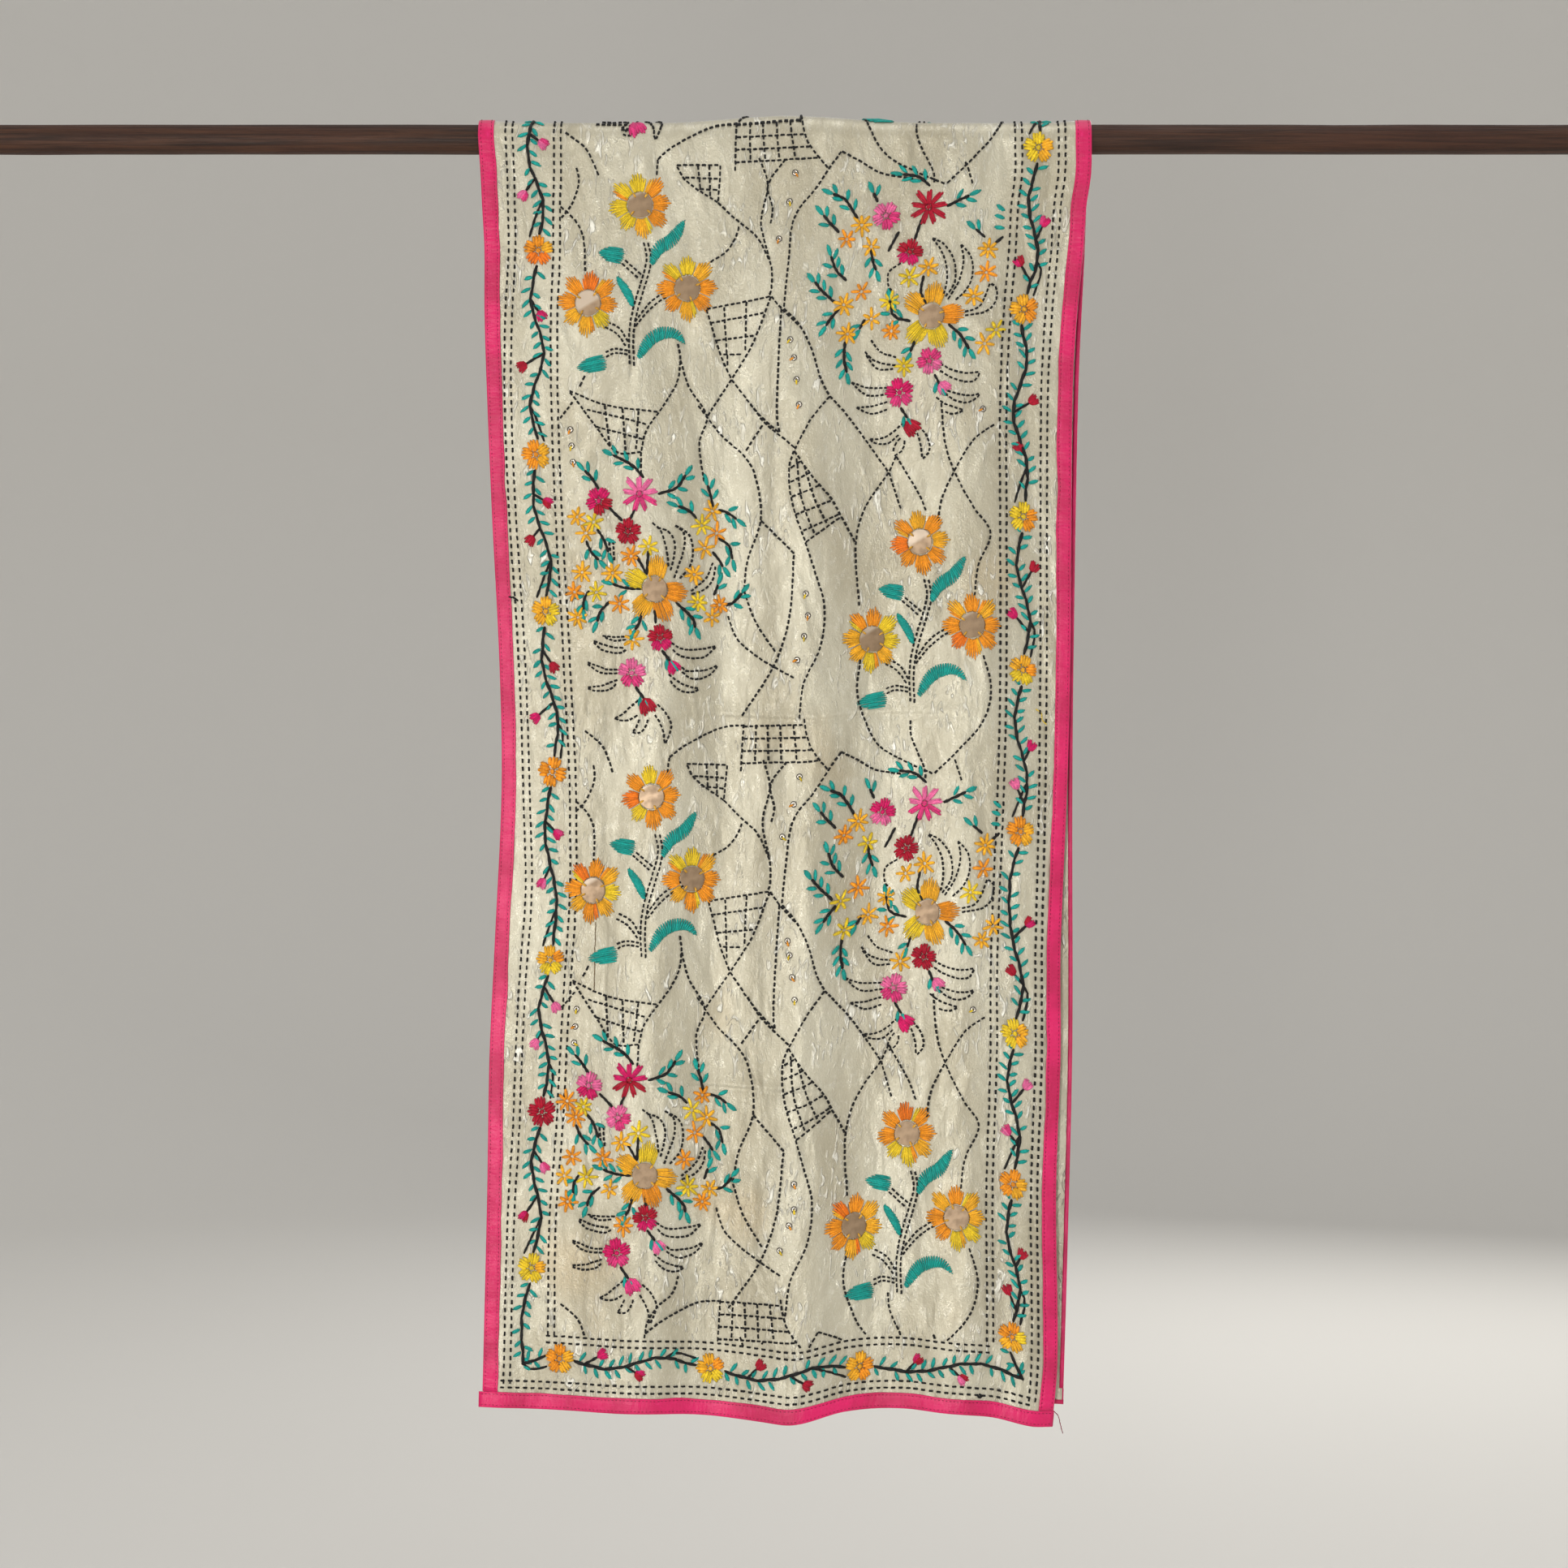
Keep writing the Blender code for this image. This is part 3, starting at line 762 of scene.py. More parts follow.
def make_cloth():
    """The silk as a thin closed shell on the grid."""
    inset = SOLID_WALL + GAP
    across = np.clip(GRID_ACROSS, -HALF_WIDTH + inset, HALF_WIDTH - inset)
    along = np.clip(GRID_ALONG, -FRONT_LENGTH + inset, BACK_LENGTH - inset)
    flat_across, flat_along = np.meshgrid(across, along)
    face = cloth_point(flat_across, flat_along, SILK_WALL / 2)
    wrong_side = cloth_point(flat_across, flat_along, -SILK_WALL / 2)
    count = GRID_ROWS * GRID_COLUMNS
    numbers = np.arange(count).reshape(GRID_ROWS, GRID_COLUMNS)
    rim = np.concatenate([numbers[0], numbers[1:, -1], numbers[-1, -2::-1], numbers[-2:0:-1, 0]])
    around = np.roll(rim, -1)
    faces = [
        grid_quads(GRID_ROWS, GRID_COLUMNS),
        grid_quads(GRID_ROWS, GRID_COLUMNS, start=count)[:, ::-1],
        np.stack([rim, rim + count, around + count, around], -1),
    ]
    flat = np.stack([flat_across, flat_along, np.zeros_like(flat_across)], -1)
    places = {"flat_place": np.concatenate([flat, flat + (0.7, 0.4, 0)])}
    return new_piece("stole_silk", [face, wrong_side], faces, SILK, places)


RIBBON_WALL = 0.45 * MM
RIBBON_STEP = 4 * MM
LAP_LENGTH = 12 * MM
LAP_RISE = 0.35 * MM

# How far in from the cloth's edge a ribbon's inner edge starts to drift
LOOSE_PART = 9 * MM


def ribbon_profile():
    """A ribbon's cut, from its inner edge over the fold to its edge on the wrong side.

    Each row is the distance in from the cloth's edge and the height over its middle.
    """
    high = BINDING_RISE + 0.25 * MM
    ribs = ((0, -0.1), (0.7, 0.15), (1.6, -0.2), (2.6, 0.2))
    rows = [(BINDING_WIDTH - inner * MM, high + up * MM) for inner, up in ribs]
    rows += [(inward * MM, high + 0.3 * MM) for inward in (8, 5.5, 3.2)]
    for turn in np.linspace(0, math.pi, 7):
        inward = 1.4 * MM - 1.15 * MM * math.sin(turn)
        rows.append((inward, (high + 0.25 * MM) * math.cos(turn)))
    rows += [(2.8 * MM, -high), (BINDING_RETURN, -high + 0.1 * MM)]
    return np.array(rows)


def ribbon_puckers(length, seed):
    """Uneven little swells along a ribbon: two rows of numbers, for its height and edge."""
    rng = np.random.default_rng(seed)
    marks = np.arange(0, length + 20 * MM, 17 * MM)
    swell = rng.normal(0, 0.3, len(marks)) * MM
    drift = rng.normal(0, 0.28, len(marks)) * MM
    places = np.linspace(0, length, max(int(length / RIBBON_STEP), 2) + 1)
    return places, read_curve(marks, swell, places), read_curve(marks, drift, places)


def ribbon_laps(places, joins):
    """1 where one length of ribbon laps over the next, and 0 elsewhere."""
    laps = (ease((places - join) / (2 * MM)) * (places < join + LAP_LENGTH) for join in joins)
    return sum(laps, 0 * places)


def make_ribbon(name, length, place_at, seed, replaced, joins=()):
    """A ribbon folded over one edge of the cloth, as a thin closed shell.

    place_at gives (across, along) for a distance along the ribbon and a distance in
    from the cloth's edge.  Joins are where one length of ribbon laps over the next.
    """
    profile = ribbon_profile()
    places, swell, drift = ribbon_puckers(length, seed)
    inward, out = profile[:, 0], profile[:, 1]
    lapped = ribbon_laps(places, joins)
    direction = np.gradient(profile, axis=0)
    direction /= np.linalg.norm(direction, axis=1, keepdims=True)
    rings = []
    for side in (1, 0):
        shift = np.stack([-direction[:, 1], direction[:, 0]], -1) * RIBBON_WALL * (side - 1)
        ring_in = inward[None, :] - shift[None, :, 0]
        ring_out = out[None, :] - shift[None, :, 1]
        on_face = np.clip(ring_out / (0.8 * MM), -1, 1)
        grown = np.clip(inward / BINDING_WIDTH, 0.2, 1)[None, :]
        ring_in = ring_in + drift[:, None] * (inward > LOOSE_PART)[None, :]
        raised = np.abs(swell)[:, None] + LAP_RISE * lapped[:, None]
        ring_out = ring_out + raised * on_face * grown
        rings.append((ring_in, ring_out))
    ring_in = np.concatenate([rings[0][0], rings[1][0][:, ::-1]], 1)
    ring_out = np.concatenate([rings[0][1], rings[1][1][:, ::-1]], 1)
    stations = np.broadcast_to(places[:, None], ring_in.shape)
    across, along = place_at(stations, ring_in)
    points = cloth_point(across, along, ring_out)
    rows, columns = ring_in.shape
    faces = [grid_quads(rows, columns, wrap_columns=True)]
    half = columns // 2
    for ring, flip in ((0, 1), (rows - 1, -1)):
        first = np.arange(half - 1)
        cap = np.stack([first, columns - 1 - first, columns - 2 - first, first + 1], -1)
        faces.append(cap[:, ::flip] + ring * columns)
    flat = np.stack([ring_in, stations, np.sign(ring_out) + 0 * stations], -1)
    piece = new_piece(name, points, faces, RIBBON, {"ribbon_place": flat})
    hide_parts(replaced)
    return piece


def ribbon_runs():
    """The ribbons over the two long edges, then over the two short ones.

    Each row is what make_ribbon takes: its name, its length, its places, its seed, the
    solid that it replaces and its joins.
    """
    length = FRONT_LENGTH + BACK_LENGTH - 2 * BINDING_WIDTH - 2 * GAP
    start = -FRONT_LENGTH + BINDING_WIDTH + GAP

    def beside(side):
        def place_at(distance, inward):
            return side * (HALF_WIDTH - inward), start + distance

        return place_at

    def below(edge, inwards, first):
        def place_at(distance, inward):
            return first + distance, edge + inwards * inward

        return place_at

    jutting = CLOTH_WIDTH + HEM_JUT
    front_hem = below(-FRONT_LENGTH, 1, -HALF_WIDTH - HEM_JUT)
    back_hem = below(BACK_LENGTH, -1, -HALF_WIDTH)
    return (
        ("ribbon_left", length, beside(-1), 3, "binding_left", (785 * MM, 1510 * MM)),
        ("ribbon_right", length, beside(1), 4, "binding_right", (428 * MM, 524 * MM, 1620 * MM)),
        ("ribbon_hem_front", jutting, front_hem, 6, "hem_front", ()),
        ("ribbon_hem_back", CLOTH_WIDTH, back_hem, 7, "hem_back", ()),
    )


ROD_ROUND = 72
ROD_STATIONS = 261
ROD_CHAMFER = 1.5 * MM
ROD_PLANED = 0.15 * MM
ROD_WAVES = 27
ROD_SEED = 2
CRACK_TURN = math.radians(42)
CRACK_HALF = math.radians(1.6)
CRACK_DEPTH = 0.9 * MM
CRACK_STARTS = 250 * MM
CRACK_EASE = 20 * MM


def make_rod():
    """The rod, hand-planed: a little uneven, with one long drying crack high on its front."""
    x = np.linspace(-ROD_LENGTH / 2, ROD_LENGTH / 2, ROD_STATIONS)
    x = np.concatenate([[x[0]], [x[0] + ROD_CHAMFER], x[2:-2], [x[-1] - ROD_CHAMFER], [x[-1]]])
    turns = circle(ROD_ROUND)
    near = np.argmin(np.abs(turns - CRACK_TURN))
    turns[near] = CRACK_TURN
    turns[near - 1] = CRACK_TURN - CRACK_HALF
    turns[near + 1] = CRACK_TURN + CRACK_HALF
    station, turn = np.meshgrid(x, turns, indexing="ij")
    rng = np.random.default_rng(ROD_SEED)
    marks = np.linspace(-ROD_LENGTH / 2, ROD_LENGTH / 2, ROD_WAVES)
    waves = rng.normal(0, 0.12, (ROD_WAVES, 3)) * MM
    sway = read_curve(marks, waves, x)
    radius = np.full_like(station, ROD_RADIUS - ROD_PLANED)
    radius += sway[:, :1] * np.cos(turn) + sway[:, 1:2] * np.sin(2 * turn)
    crack = np.abs(turn - CRACK_TURN) < CRACK_HALF / 3
    reach = ease((np.abs(station) - CRACK_STARTS) / CRACK_EASE)
    reach *= 0.55 + 0.45 * np.sin(station * 31) ** 2
    radius -= CRACK_DEPTH * crack * reach
    radius[[0, -1]] -= ROD_CHAMFER
    points = np.stack([station, -radius * np.sin(turn), radius * np.cos(turn)], -1)
    ends = np.array([[x[0], 0, 0], [x[-1], 0, 0]])
    count = points.shape[0] * points.shape[1]
    first, following = ring_pairs(ROD_ROUND)
    last = count - ROD_ROUND
    faces = [
        grid_quads(len(x), ROD_ROUND, wrap_columns=True)[:, ::-1],
        np.stack([np.full(ROD_ROUND, count), first, following], -1),
        np.stack([np.full(ROD_ROUND, count + 1), last + following, last + first], -1),
    ]
    points = np.concatenate([points.reshape(-1, 3), ends])
    piece = new_piece("wooden_rod", points, faces, WOOD, {"rod_place": points})
    piece.data.set_sharp_from_angle(angle=math.radians(35))
    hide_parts("rod")
    return piece


# Stitches: how far each one strays, and how deep its two ends go into the silk
STITCH_STRAY = 0.12 * MM
STITCH_DIP = 0.3 * MM


class Stitches:
    """Stitches on the cloth, gathered up and then made as one mesh.

    Each is a thin bead, pointed at both ends, with rings at these shares of its length.
    """

    def __init__(self, sides=5, shares=(0.1, 0.5, 0.9)):
        self.sides = sides
        self.shares = shares
        self.rows = []

    def add(self, start, end, width, dye, rise=0.3 * MM, lift=0.0):
        """One stitch between two places on the flat cloth."""
        self.rows.append((*start, *end, width, rise, lift, *dye[:3]))

    def faces(self, count):
        """The faces of so many stitches: their tips' triangles, then their walls' quads."""
        first, following = ring_pairs(self.sides)
        tail = 1 + len(self.shares) * self.sides
        last_ring = tail - self.sides
        near_tips = np.stack([0 * first, 1 + following, 1 + first], -1)
        far_tips = np.stack([0 * first + tail, last_ring + first, last_ring + following], -1)
        walls = grid_quads(len(self.shares), self.sides, wrap_columns=True, start=1)
        starts = (np.arange(count) * (tail + 1))[:, None, None]
        tips = np.concatenate([near_tips, far_tips])
        return [(tips + starts).reshape(-1, 3), (walls + starts).reshape(-1, 4)]

    def make(self, name, seed):
        """Make the mesh, with the dye of each stitch and a place along and round its thread."""
        rows = np.array(self.rows)
        rng = np.random.default_rng(seed)
        count = len(rows)
        start = rows[:, 0:2] + rng.normal(0, STITCH_STRAY, (count, 2))
        end = rows[:, 2:4] + rng.normal(0, STITCH_STRAY, (count, 2))
        width = rows[:, 4] * rng.uniform(0.9, 1.12, count)
        rise, base = rows[:, 5], SILK_WALL / 2 + rows[:, 6]
        run = end - start
        length = np.maximum(np.linalg.norm(run, axis=1), 1e-6)
        aside = np.stack([-run[:, 1], run[:, 0]], -1) / length[:, None]
        turns = 2 * math.pi * (np.arange(self.sides) + 0.5) / self.sides
        across, along, out = [start[:, :1]], [start[:, 1:]], [(base - STITCH_DIP)[:, None]]
        for share in self.shares:
            full = math.sqrt(1 - 0.8 * (2 * share - 1) ** 2)
            middle = start + run * share
            swing = (width / 2 * full)[:, None] * np.cos(turns)
            across.append(middle[:, :1] + aside[:, :1] * swing)
            along.append(middle[:, 1:] + aside[:, 1:] * swing)
            height = base + rise * 4 * share * (1 - share) + 0.2 * width
            out.append(height[:, None] + (0.38 * width * full)[:, None] * np.sin(turns))
        across.append(end[:, :1])
        along.append(end[:, 1:])
        out.append((base - STITCH_DIP)[:, None])
        points = cloth_point(*(np.concatenate(part, 1) for part in (across, along, out)))
        size = (count, points.shape[1])
        shade = rng.uniform(0.8, 1.15, (count, 1))
        dyes = np.repeat((rows[:, 7:10] * shade)[:, None, :], size[1], 1)
        spots = [0, *np.tile(np.arange(self.sides) * 6 / self.sides, len(self.shares)), 0]
        shares = np.array([0, *np.repeat(self.shares, self.sides), 1])
        strand = np.stack(
            [
                np.array(spots) + rng.uniform(0, 90, (count, 1)),
                shares * length[:, None] / MM,
                np.broadcast_to(rng.uniform(0, 90, (count, 1)), size),
            ],
            -1,
        )
        places = {"dye": dyes, "strand": strand}
        return new_piece(name, points, self.faces(count), THREAD, places)


BLACK = colour(9, 9, 11)
TEAL = colour(8, 166, 156)

# The dyes of the flowers, by the letters that stand for them in the charts
DYES = {
    "y": colour(246, 212, 42),  # yellow
    "g": colour(254, 186, 40),  # gold
    "o": colour(253, 160, 30),  # orange
    "d": colour(251, 130, 26),  # deep orange
    "c": colour(184, 0, 44),  # crimson
    "m": colour(220, 10, 104),  # magenta
    "p": colour(243, 112, 168),  # pink
    "r": colour(232, 60, 132),  # rose
}


def dyed(letters):
    """The dyes that a chart's letters stand for."""
    return tuple(DYES[letter] for letter in letters)


NETWORK_PITCH = 4.8 * MM
BORDER_PITCH = 6.4 * MM
DASH_WIDTH = 2.9 * MM
RIBBON_THREAD = colour(150, 8, 62)
RIBBON_STITCH = 3.2 * MM
RIBBON_ROWS = (2.6 * MM, 11 * MM)


def stitch_ribbon(stitches, length, place_at, seed, joins):
    """Two rows of small stitches along the face of a ribbon."""
    face = ribbon_profile()[:8][::-1]
    places, swell, drift = ribbon_puckers(length, seed)
    for inward in RIBBON_ROWS:
        height = np.interp(inward, face[:, 0], face[:, 1])
        for place in np.arange(2 * MM, length - 3 * MM, RIBBON_STITCH):
            lap = LAP_RISE * ribbon_laps(place, joins)
            puffed = (abs(np.interp(place, places, swell)) + lap) * max(inward / BINDING_WIDTH, 0.2)
            drawn = inward + (np.interp(place, places, drift) if inward > LOOSE_PART else 0)
            start = place_at(place, drawn)
            end = place_at(place + 1.9 * MM, drawn)
            lift = height + puffed - SILK_WALL / 2
            stitches.add(start, end, 0.6 * MM, RIBBON_THREAD, 0.12 * MM, lift)


def run_stitch(stitches, points, pitch=NETWORK_PITCH, dash=0.78, limits=None):
    """A line of running stitch on a smooth curve through places on the cloth, in metres.

    Limits is how far across it may reach on each side, and its lowest and highest place
    along the cloth.
    """
    path = smooth_path(points, pitch)
    for start, after in zip(path, path[1:]):
        if limits and not (abs(start[0]) < limits[0] and limits[1] < start[1] < limits[2]):
            continue
        stitches.add(start, start + (after - start) * dash, DASH_WIDTH, BLACK, lift=0.1 * MM)


def towards(turn):
    """One step on the flat cloth at a turn from straight right."""
    return np.array([math.cos(turn), math.sin(turn)])


def heading(way):
    """The turn from straight right that a step goes at."""
    return math.atan2(way[1], way[0])


def petal(stitches, middle, turn, inner, outer, width, dyes, threads, point, at_foot=0.4):
    """A petal of stitches side by side, from its narrow foot out to its tip.

    Width is across the tip.  The dyes go from one side of it to the other.
    """
    for k in range(threads):
        share = 2 * k / (threads - 1) - 1
        dye = dyes[int(k * len(dyes) / threads)]
        foot = middle + towards(turn + share * at_foot) * inner
        uneven = 1.0 * MM * math.sin(2.4 * k + 5 * turn)
        reach = outer - (outer - inner) * point * abs(share) ** 1.5 + uneven
        tip = middle + towards(turn + 0.5 * share * width / outer) * reach
        thick = max(0.88 * width / (threads - 1), 1.5 * MM)
        rise = (1.1 - 0.5 * share * share) * MM
        stitches.add(foot, tip, thick, dye, rise, (0.1 + 0.15 * (k % 2)) * MM)


def blunt_petal(stitches, middle, turn, radius, width, dye):
    """A small petal of short threads that lie side by side."""
    threads = 4
    way, aside = towards(turn), towards(turn + math.pi / 2)
    for k in range(threads):
        share = 2 * k / (threads - 1) - 1
        uneven = 0.5 * MM * math.sin(3 * k + 7 * turn)
        foot = middle + way * (0.1 * radius + 0.22 * width * abs(share)) + aside * share * 0.27 * width
        tip = middle + way * (radius * (1 - 0.1 * share * share) + uneven) + aside * share * 0.4 * width
        stitches.add(foot, tip, 1.2 * width / threads, dye, 1.3 * MM, (0.1 + 0.2 * (k % 2)) * MM)


def knot(stitches, middle, angles, half, width, dye, rise, lift):
    """Short stitches that cross each other over a flower's middle, by one at each angle."""
    for angle in angles:
        reach = towards(angle) * half * MM
        stitches.add(middle - reach, middle + reach, width * MM, dye, rise * MM, lift * MM)


def rosette(stitches, middle, radius, petals, dyes, turn):
    """A small flower of a few full petals, with a knot in its middle."""
    for number in range(petals):
        dye = dyes[number * len(dyes) // petals]
        angle = turn + 2 * math.pi * number / petals
        width = 1.32 * radius * math.sin(math.pi / petals)
        blunt_petal(stitches, middle, angle, radius, width, dye)
    angles = (turn + 0.3, turn + 1.4, turn + 2.4)
    knot(stitches, middle, angles, 2.3, 2.4, dyes[0], 0.7, 0.5)


def wide_star(stitches, middle, radius, dyes):
    """A star of nine rays, each of two threads, with a knot in its middle."""
    for number in range(9):
        angle = 0.2 + 2 * math.pi * number / 9
        dye = dyes[-1] if math.sin(angle) > 0.1 else dyes[0]
        reach = radius * (1 + 0.09 * math.sin(2.6 * number))
        aside = towards(angle + math.pi / 2)
        for side in (-1, 1):
            foot = middle + towards(angle) * 1.8 * MM + aside * side * 0.5 * MM
            tip = middle + towards(angle) * reach * (1 - 0.05 * side) + aside * side * 1.1 * MM
            stitches.add(foot, tip, 3.1 * MM, dye, 0.8 * MM, 0.1 * side * MM)
    knot(stitches, middle, (0.5, 1.5, 2.6), 2.6, 2.2, dyes[0], 0.6, 0.6)


def star(stitches, middle, radius, rays, dye, turn):
    """A small star, with one stitch for each of its rays."""
    for number in range(rays):
        angle = turn + 2 * math.pi * number / rays
        reach = radius * (1 + 0.12 * math.sin(2.3 * number))
        foot = middle + towards(angle) * 0.9 * MM
        stitches.add(foot, middle + towards(angle) * reach, 3 * MM, dye, 0.5 * MM)


def bud(stitches, middle, turn, length, width, dyes):
    """A bud: a fan of threads side by side, with a shallow notch in its far end."""
    way, aside = towards(turn), towards(turn + math.pi / 2)
    for k in range(7):
        share = (k - 3) / 3
        foot = middle - way * length * (0.5 - 0.16 * abs(share)) + aside * share * 0.24 * width
        reach = 0.36 + 0.14 * math.sin(math.pi * abs(share)) + 0.03 * math.sin(3 * k + turn)
        tip = middle + way * length * reach + aside * share * 0.46 * width
        stitches.add(foot, tip, 0.2 * width, dyes[share > 0], 0.8 * MM)


def satin_leaf(stitches, points, width, slant):
    """A leaf of close stitches laid slantwise over a spine."""
    spine = smooth_path(points, 1.8 * MM)
    ways = np.gradient(spine, axis=0)
    count = len(spine)
    for k, (place, way) in enumerate(zip(spine, ways)):
        share = k / (count - 1)
        half = width / 2 * (math.sin(math.pi * min(0.06 + 0.94 * share, 1)) ** 0.6 + 0.06)
        turn = heading(way) + slant
        reach = towards(turn) * half / max(abs(math.sin(slant)), 0.3)
        stitches.add(place - reach, place + reach, 2.0 * MM, TEAL, 0.9 * MM)


def oval_leaf(stitches, points, width):
    """A leaf of stitches laid lengthwise, side by side, pointed at both ends."""
    threads = 8
    foot, tip = np.array(points[0]), np.array(points[-1])
    way = tip - foot
    aside = np.array([-way[1], way[0]]) / np.linalg.norm(way)
    for k in range(threads):
        share = 2 * (k + 0.5) / threads - 1
        middle = (foot + tip) / 2 + aside * share * width * 0.46
        start = middle - way * (0.48 - 0.1 * share * share) - aside * share * 0.6 * MM
        end = middle + way * (0.54 - 0.4 * abs(share) ** 1.6) - aside * share * 1.2 * MM
        rise = (1.1 - 0.6 * share * share) * MM
        stitches.add(start, end, 2 * MM, TEAL, rise, 0.15 * (k % 2) * MM)


def small_leaf(stitches, foot, turn, length=9.4 * MM, width=4.1 * MM):
    """A leaf of three threads, pointed at both ends."""
    way, aside = towards(turn), towards(turn + math.pi / 2)
    stitches.add(foot, foot + way * length, 0.56 * width, TEAL, 0.7 * MM, 0.1 * MM)
    for side, near, far in ((1, 0.1, 0.82), (-1, 0.16, 0.88)):
        start = foot + way * near * length + aside * side * 0.17 * width
        end = foot + way * far * length + aside * side * 0.2 * width
        stitches.add(start, end, 0.5 * width, TEAL, 0.5 * MM)


def stem(stitches, points, width=2.8 * MM, pitch=5.2 * MM, dye=BLACK):
    """Stem stitch: a line with no gaps, each stitch lapping the one before."""
    path = smooth_path(points, pitch)
    for start, end in zip(path, path[1:]):
        lap = (end - start) * 0.16
        stitches.add(start - lap, end + lap, width, dye, 0.4 * MM)


def twig(stitches, points):
    """A black twig with a teal leaf at its tip and leaves in pairs behind it."""
    stem(stitches, points)
    path = smooth_path(points, 9.5 * MM)
    small_leaf(stitches, path[-1], heading(path[-1] - path[-2]), 11 * MM, 4.7 * MM)
    for k in range(1, len(path)):
        turn = heading(path[k] - path[k - 1])
        for side, back in ((1, 0.5), (-1, 3)):
            foot = path[k] - towards(turn) * back * MM
            foot += towards(turn + side * math.pi / 2) * 1.3 * MM
            if np.linalg.norm(foot - path[-1]) > 2.5 * MM:
                small_leaf(stitches, foot, turn + side * 0.66, 9.8 * MM)


# The charts.  Lines of running stitch are charted on one repeat of the front drop as
# it hangs, in mm: how far right of the middle, and how far below the rod's axis.

NETWORK = (
    ((-175, -3), (-159, 9), (-153, 20), (-148, 32)),
    ((-166, 25), (-164, 36), (-167, 48), (-172, 58), (-179, 66)),
    ((-179, 56), (-168, 66), (-161, 79), (-159, 109)), ((-101, 18), (-102, 32)),
    ((-101, 18), (-90, 9), (-72, -1), (-55, -8), (-36, -10)),
    ((-53, 53), (-39, 66), (-23, 79), (-15, 92), (-10, 105), (-10, 123), (-12, 128)),
    ((-36, 72), (-38, 79), (-46, 92), (-60, 101)), ((-85, 166), (-83, 179), (-86, 198), (-100, 221)),
    ((-83, 179), (-76, 201), (-62, 224), (-68, 244), (-64, 277)), ((-42, 194), (-62, 224)),
    ((-42, 194), (-20, 222), (-3, 238)), ((-114, 253), (-114, 272)), ((-169, 212), (-180, 226)),
    ((-159, 191), (-164, 201)), ((14, -17), (16, -5), (20, 6), (29, 18), (36, 26)),
    ((-20, 17), (-13, 39), (-18, 64), (-18, 74), (-11, 100)), ((1, 18), (-13, 39), (-9, 57), (-11, 71)),
    ((-2, 138), (-4, 180), (-5, 227), (-3, 238)), ((-10, 128), (-2, 138), (12, 152)),
    ((46, 12), (36, 26), (22, 46), (12, 58), (6, 73), (4, 96), (0, 138)),
    ((0, 138), (12, 151), (22, 171), (29, 194), (36, 208)), ((46, 12), (61, 20), (77, 29), (105, 34)),
    ((106, -11), (107, 2), (120, 30), (120, 38)), ((145, 20), (151, 39)),
    ((36, 208), (22, 226), (8, 252)), ((36, 208), (55, 229), (84, 268)), ((84, 268), (94, 298)),
    ((84, 268), (64, 298), (57, 327), (60, 376)), ((90, 255), (99, 270), (109, 287), (114, 300)),
    ((90, 255), (84, 268)),
    ((126, 213), (129, 246), (136, 268), (152, 298), (165, 317), (155, 343), (152, 369)),
    ((172, 228), (152, 242), (136, 268), (126, 291), (123, 314)), ((45, 304), (57, 325)),
    ((17, 325), (25, 350), (32, 376), (29, 408), (16, 437), (12, 467)),
    ((8, 335), (4, 387), (-8, 424), (-34, 464)),
    ((61, 418), (58, 441), (62, 460), (75, 486), (98, 500), (120, 510)),
    ((159, 415), (165, 441), (159, 467), (140, 490), (120, 510)),
    ((-69, 215), (-50, 239), (-32, 255), (-23, 270), (-18, 306), (-29, 339), (-32, 363)),
    ((-32, 363), (-23, 387), (-6, 413)), ((-17, 231), (-31, 252)), ((-27, 213), (-15, 229), (9, 250)),
    ((-18, 307), (9, 335)), ((-45, 383), (-38, 401), (-25, 413), (-8, 424), (9, 434)),
)

# Shapes filled with a net of running stitch: their outlines, then the lines in them
LATTICES = (
    ((-86, 23), (-51, 23)), ((-51, 23), (-53, 53)), ((-53, 53), (-79, 35), (-86, 23)),
    ((-79, 33), (-52, 34)), ((-68, 42), (-52, 43)), ((-69, 23), (-67, 43)), ((-60, 23), (-59, 49)),
    ((-62, 138), (-10, 128)), ((-10, 128), (-25, 166), (-42, 194)), ((-62, 138), (-51, 174), (-42, 194)),
    ((-59, 149), (-15, 141)), ((-54, 163), (-23, 159)), ((-49, 174), (-33, 174)),
    ((-48, 136), (-45, 184)), ((-30, 132), (-31, 172)), ((-172, 203), (-142, 215), (-100, 221)),
    ((-100, 221), (-110, 236), (-114, 253)), ((-114, 253), (-133, 253), (-151, 231), (-172, 203)),
    ((-158, 218), (-109, 231)), ((-150, 232), (-112, 243)), ((-143, 215), (-139, 249)),
    ((-129, 218), (-126, 253)), ((-116, 220), (-118, 252)), ((-38, -9), (14, -12)), ((-38, 1), (17, -2)),
    ((-39, 11), (22, 8)), ((-39, 21), (28, 17)), ((-38, -11), (-39, 29)), ((-27, -11), (-27, 20)),
    ((-17, -11), (-15, 19)), ((-6, -11), (-4, 18)), ((5, -12), (9, 17)),
    ((8, 252), (4, 265), (6, 291), (17, 325)), ((8, 252), (22, 272), (38, 291), (45, 304)),
    ((17, 325), (45, 304)), ((5, 266), (14, 260)), ((5, 277), (22, 269)), ((6, 289), (29, 279)),
    ((9, 303), (38, 291)), ((15, 316), (44, 302)), ((10, 258), (14, 290), (24, 319)),
    ((16, 264), (24, 290), (34, 311)),
)

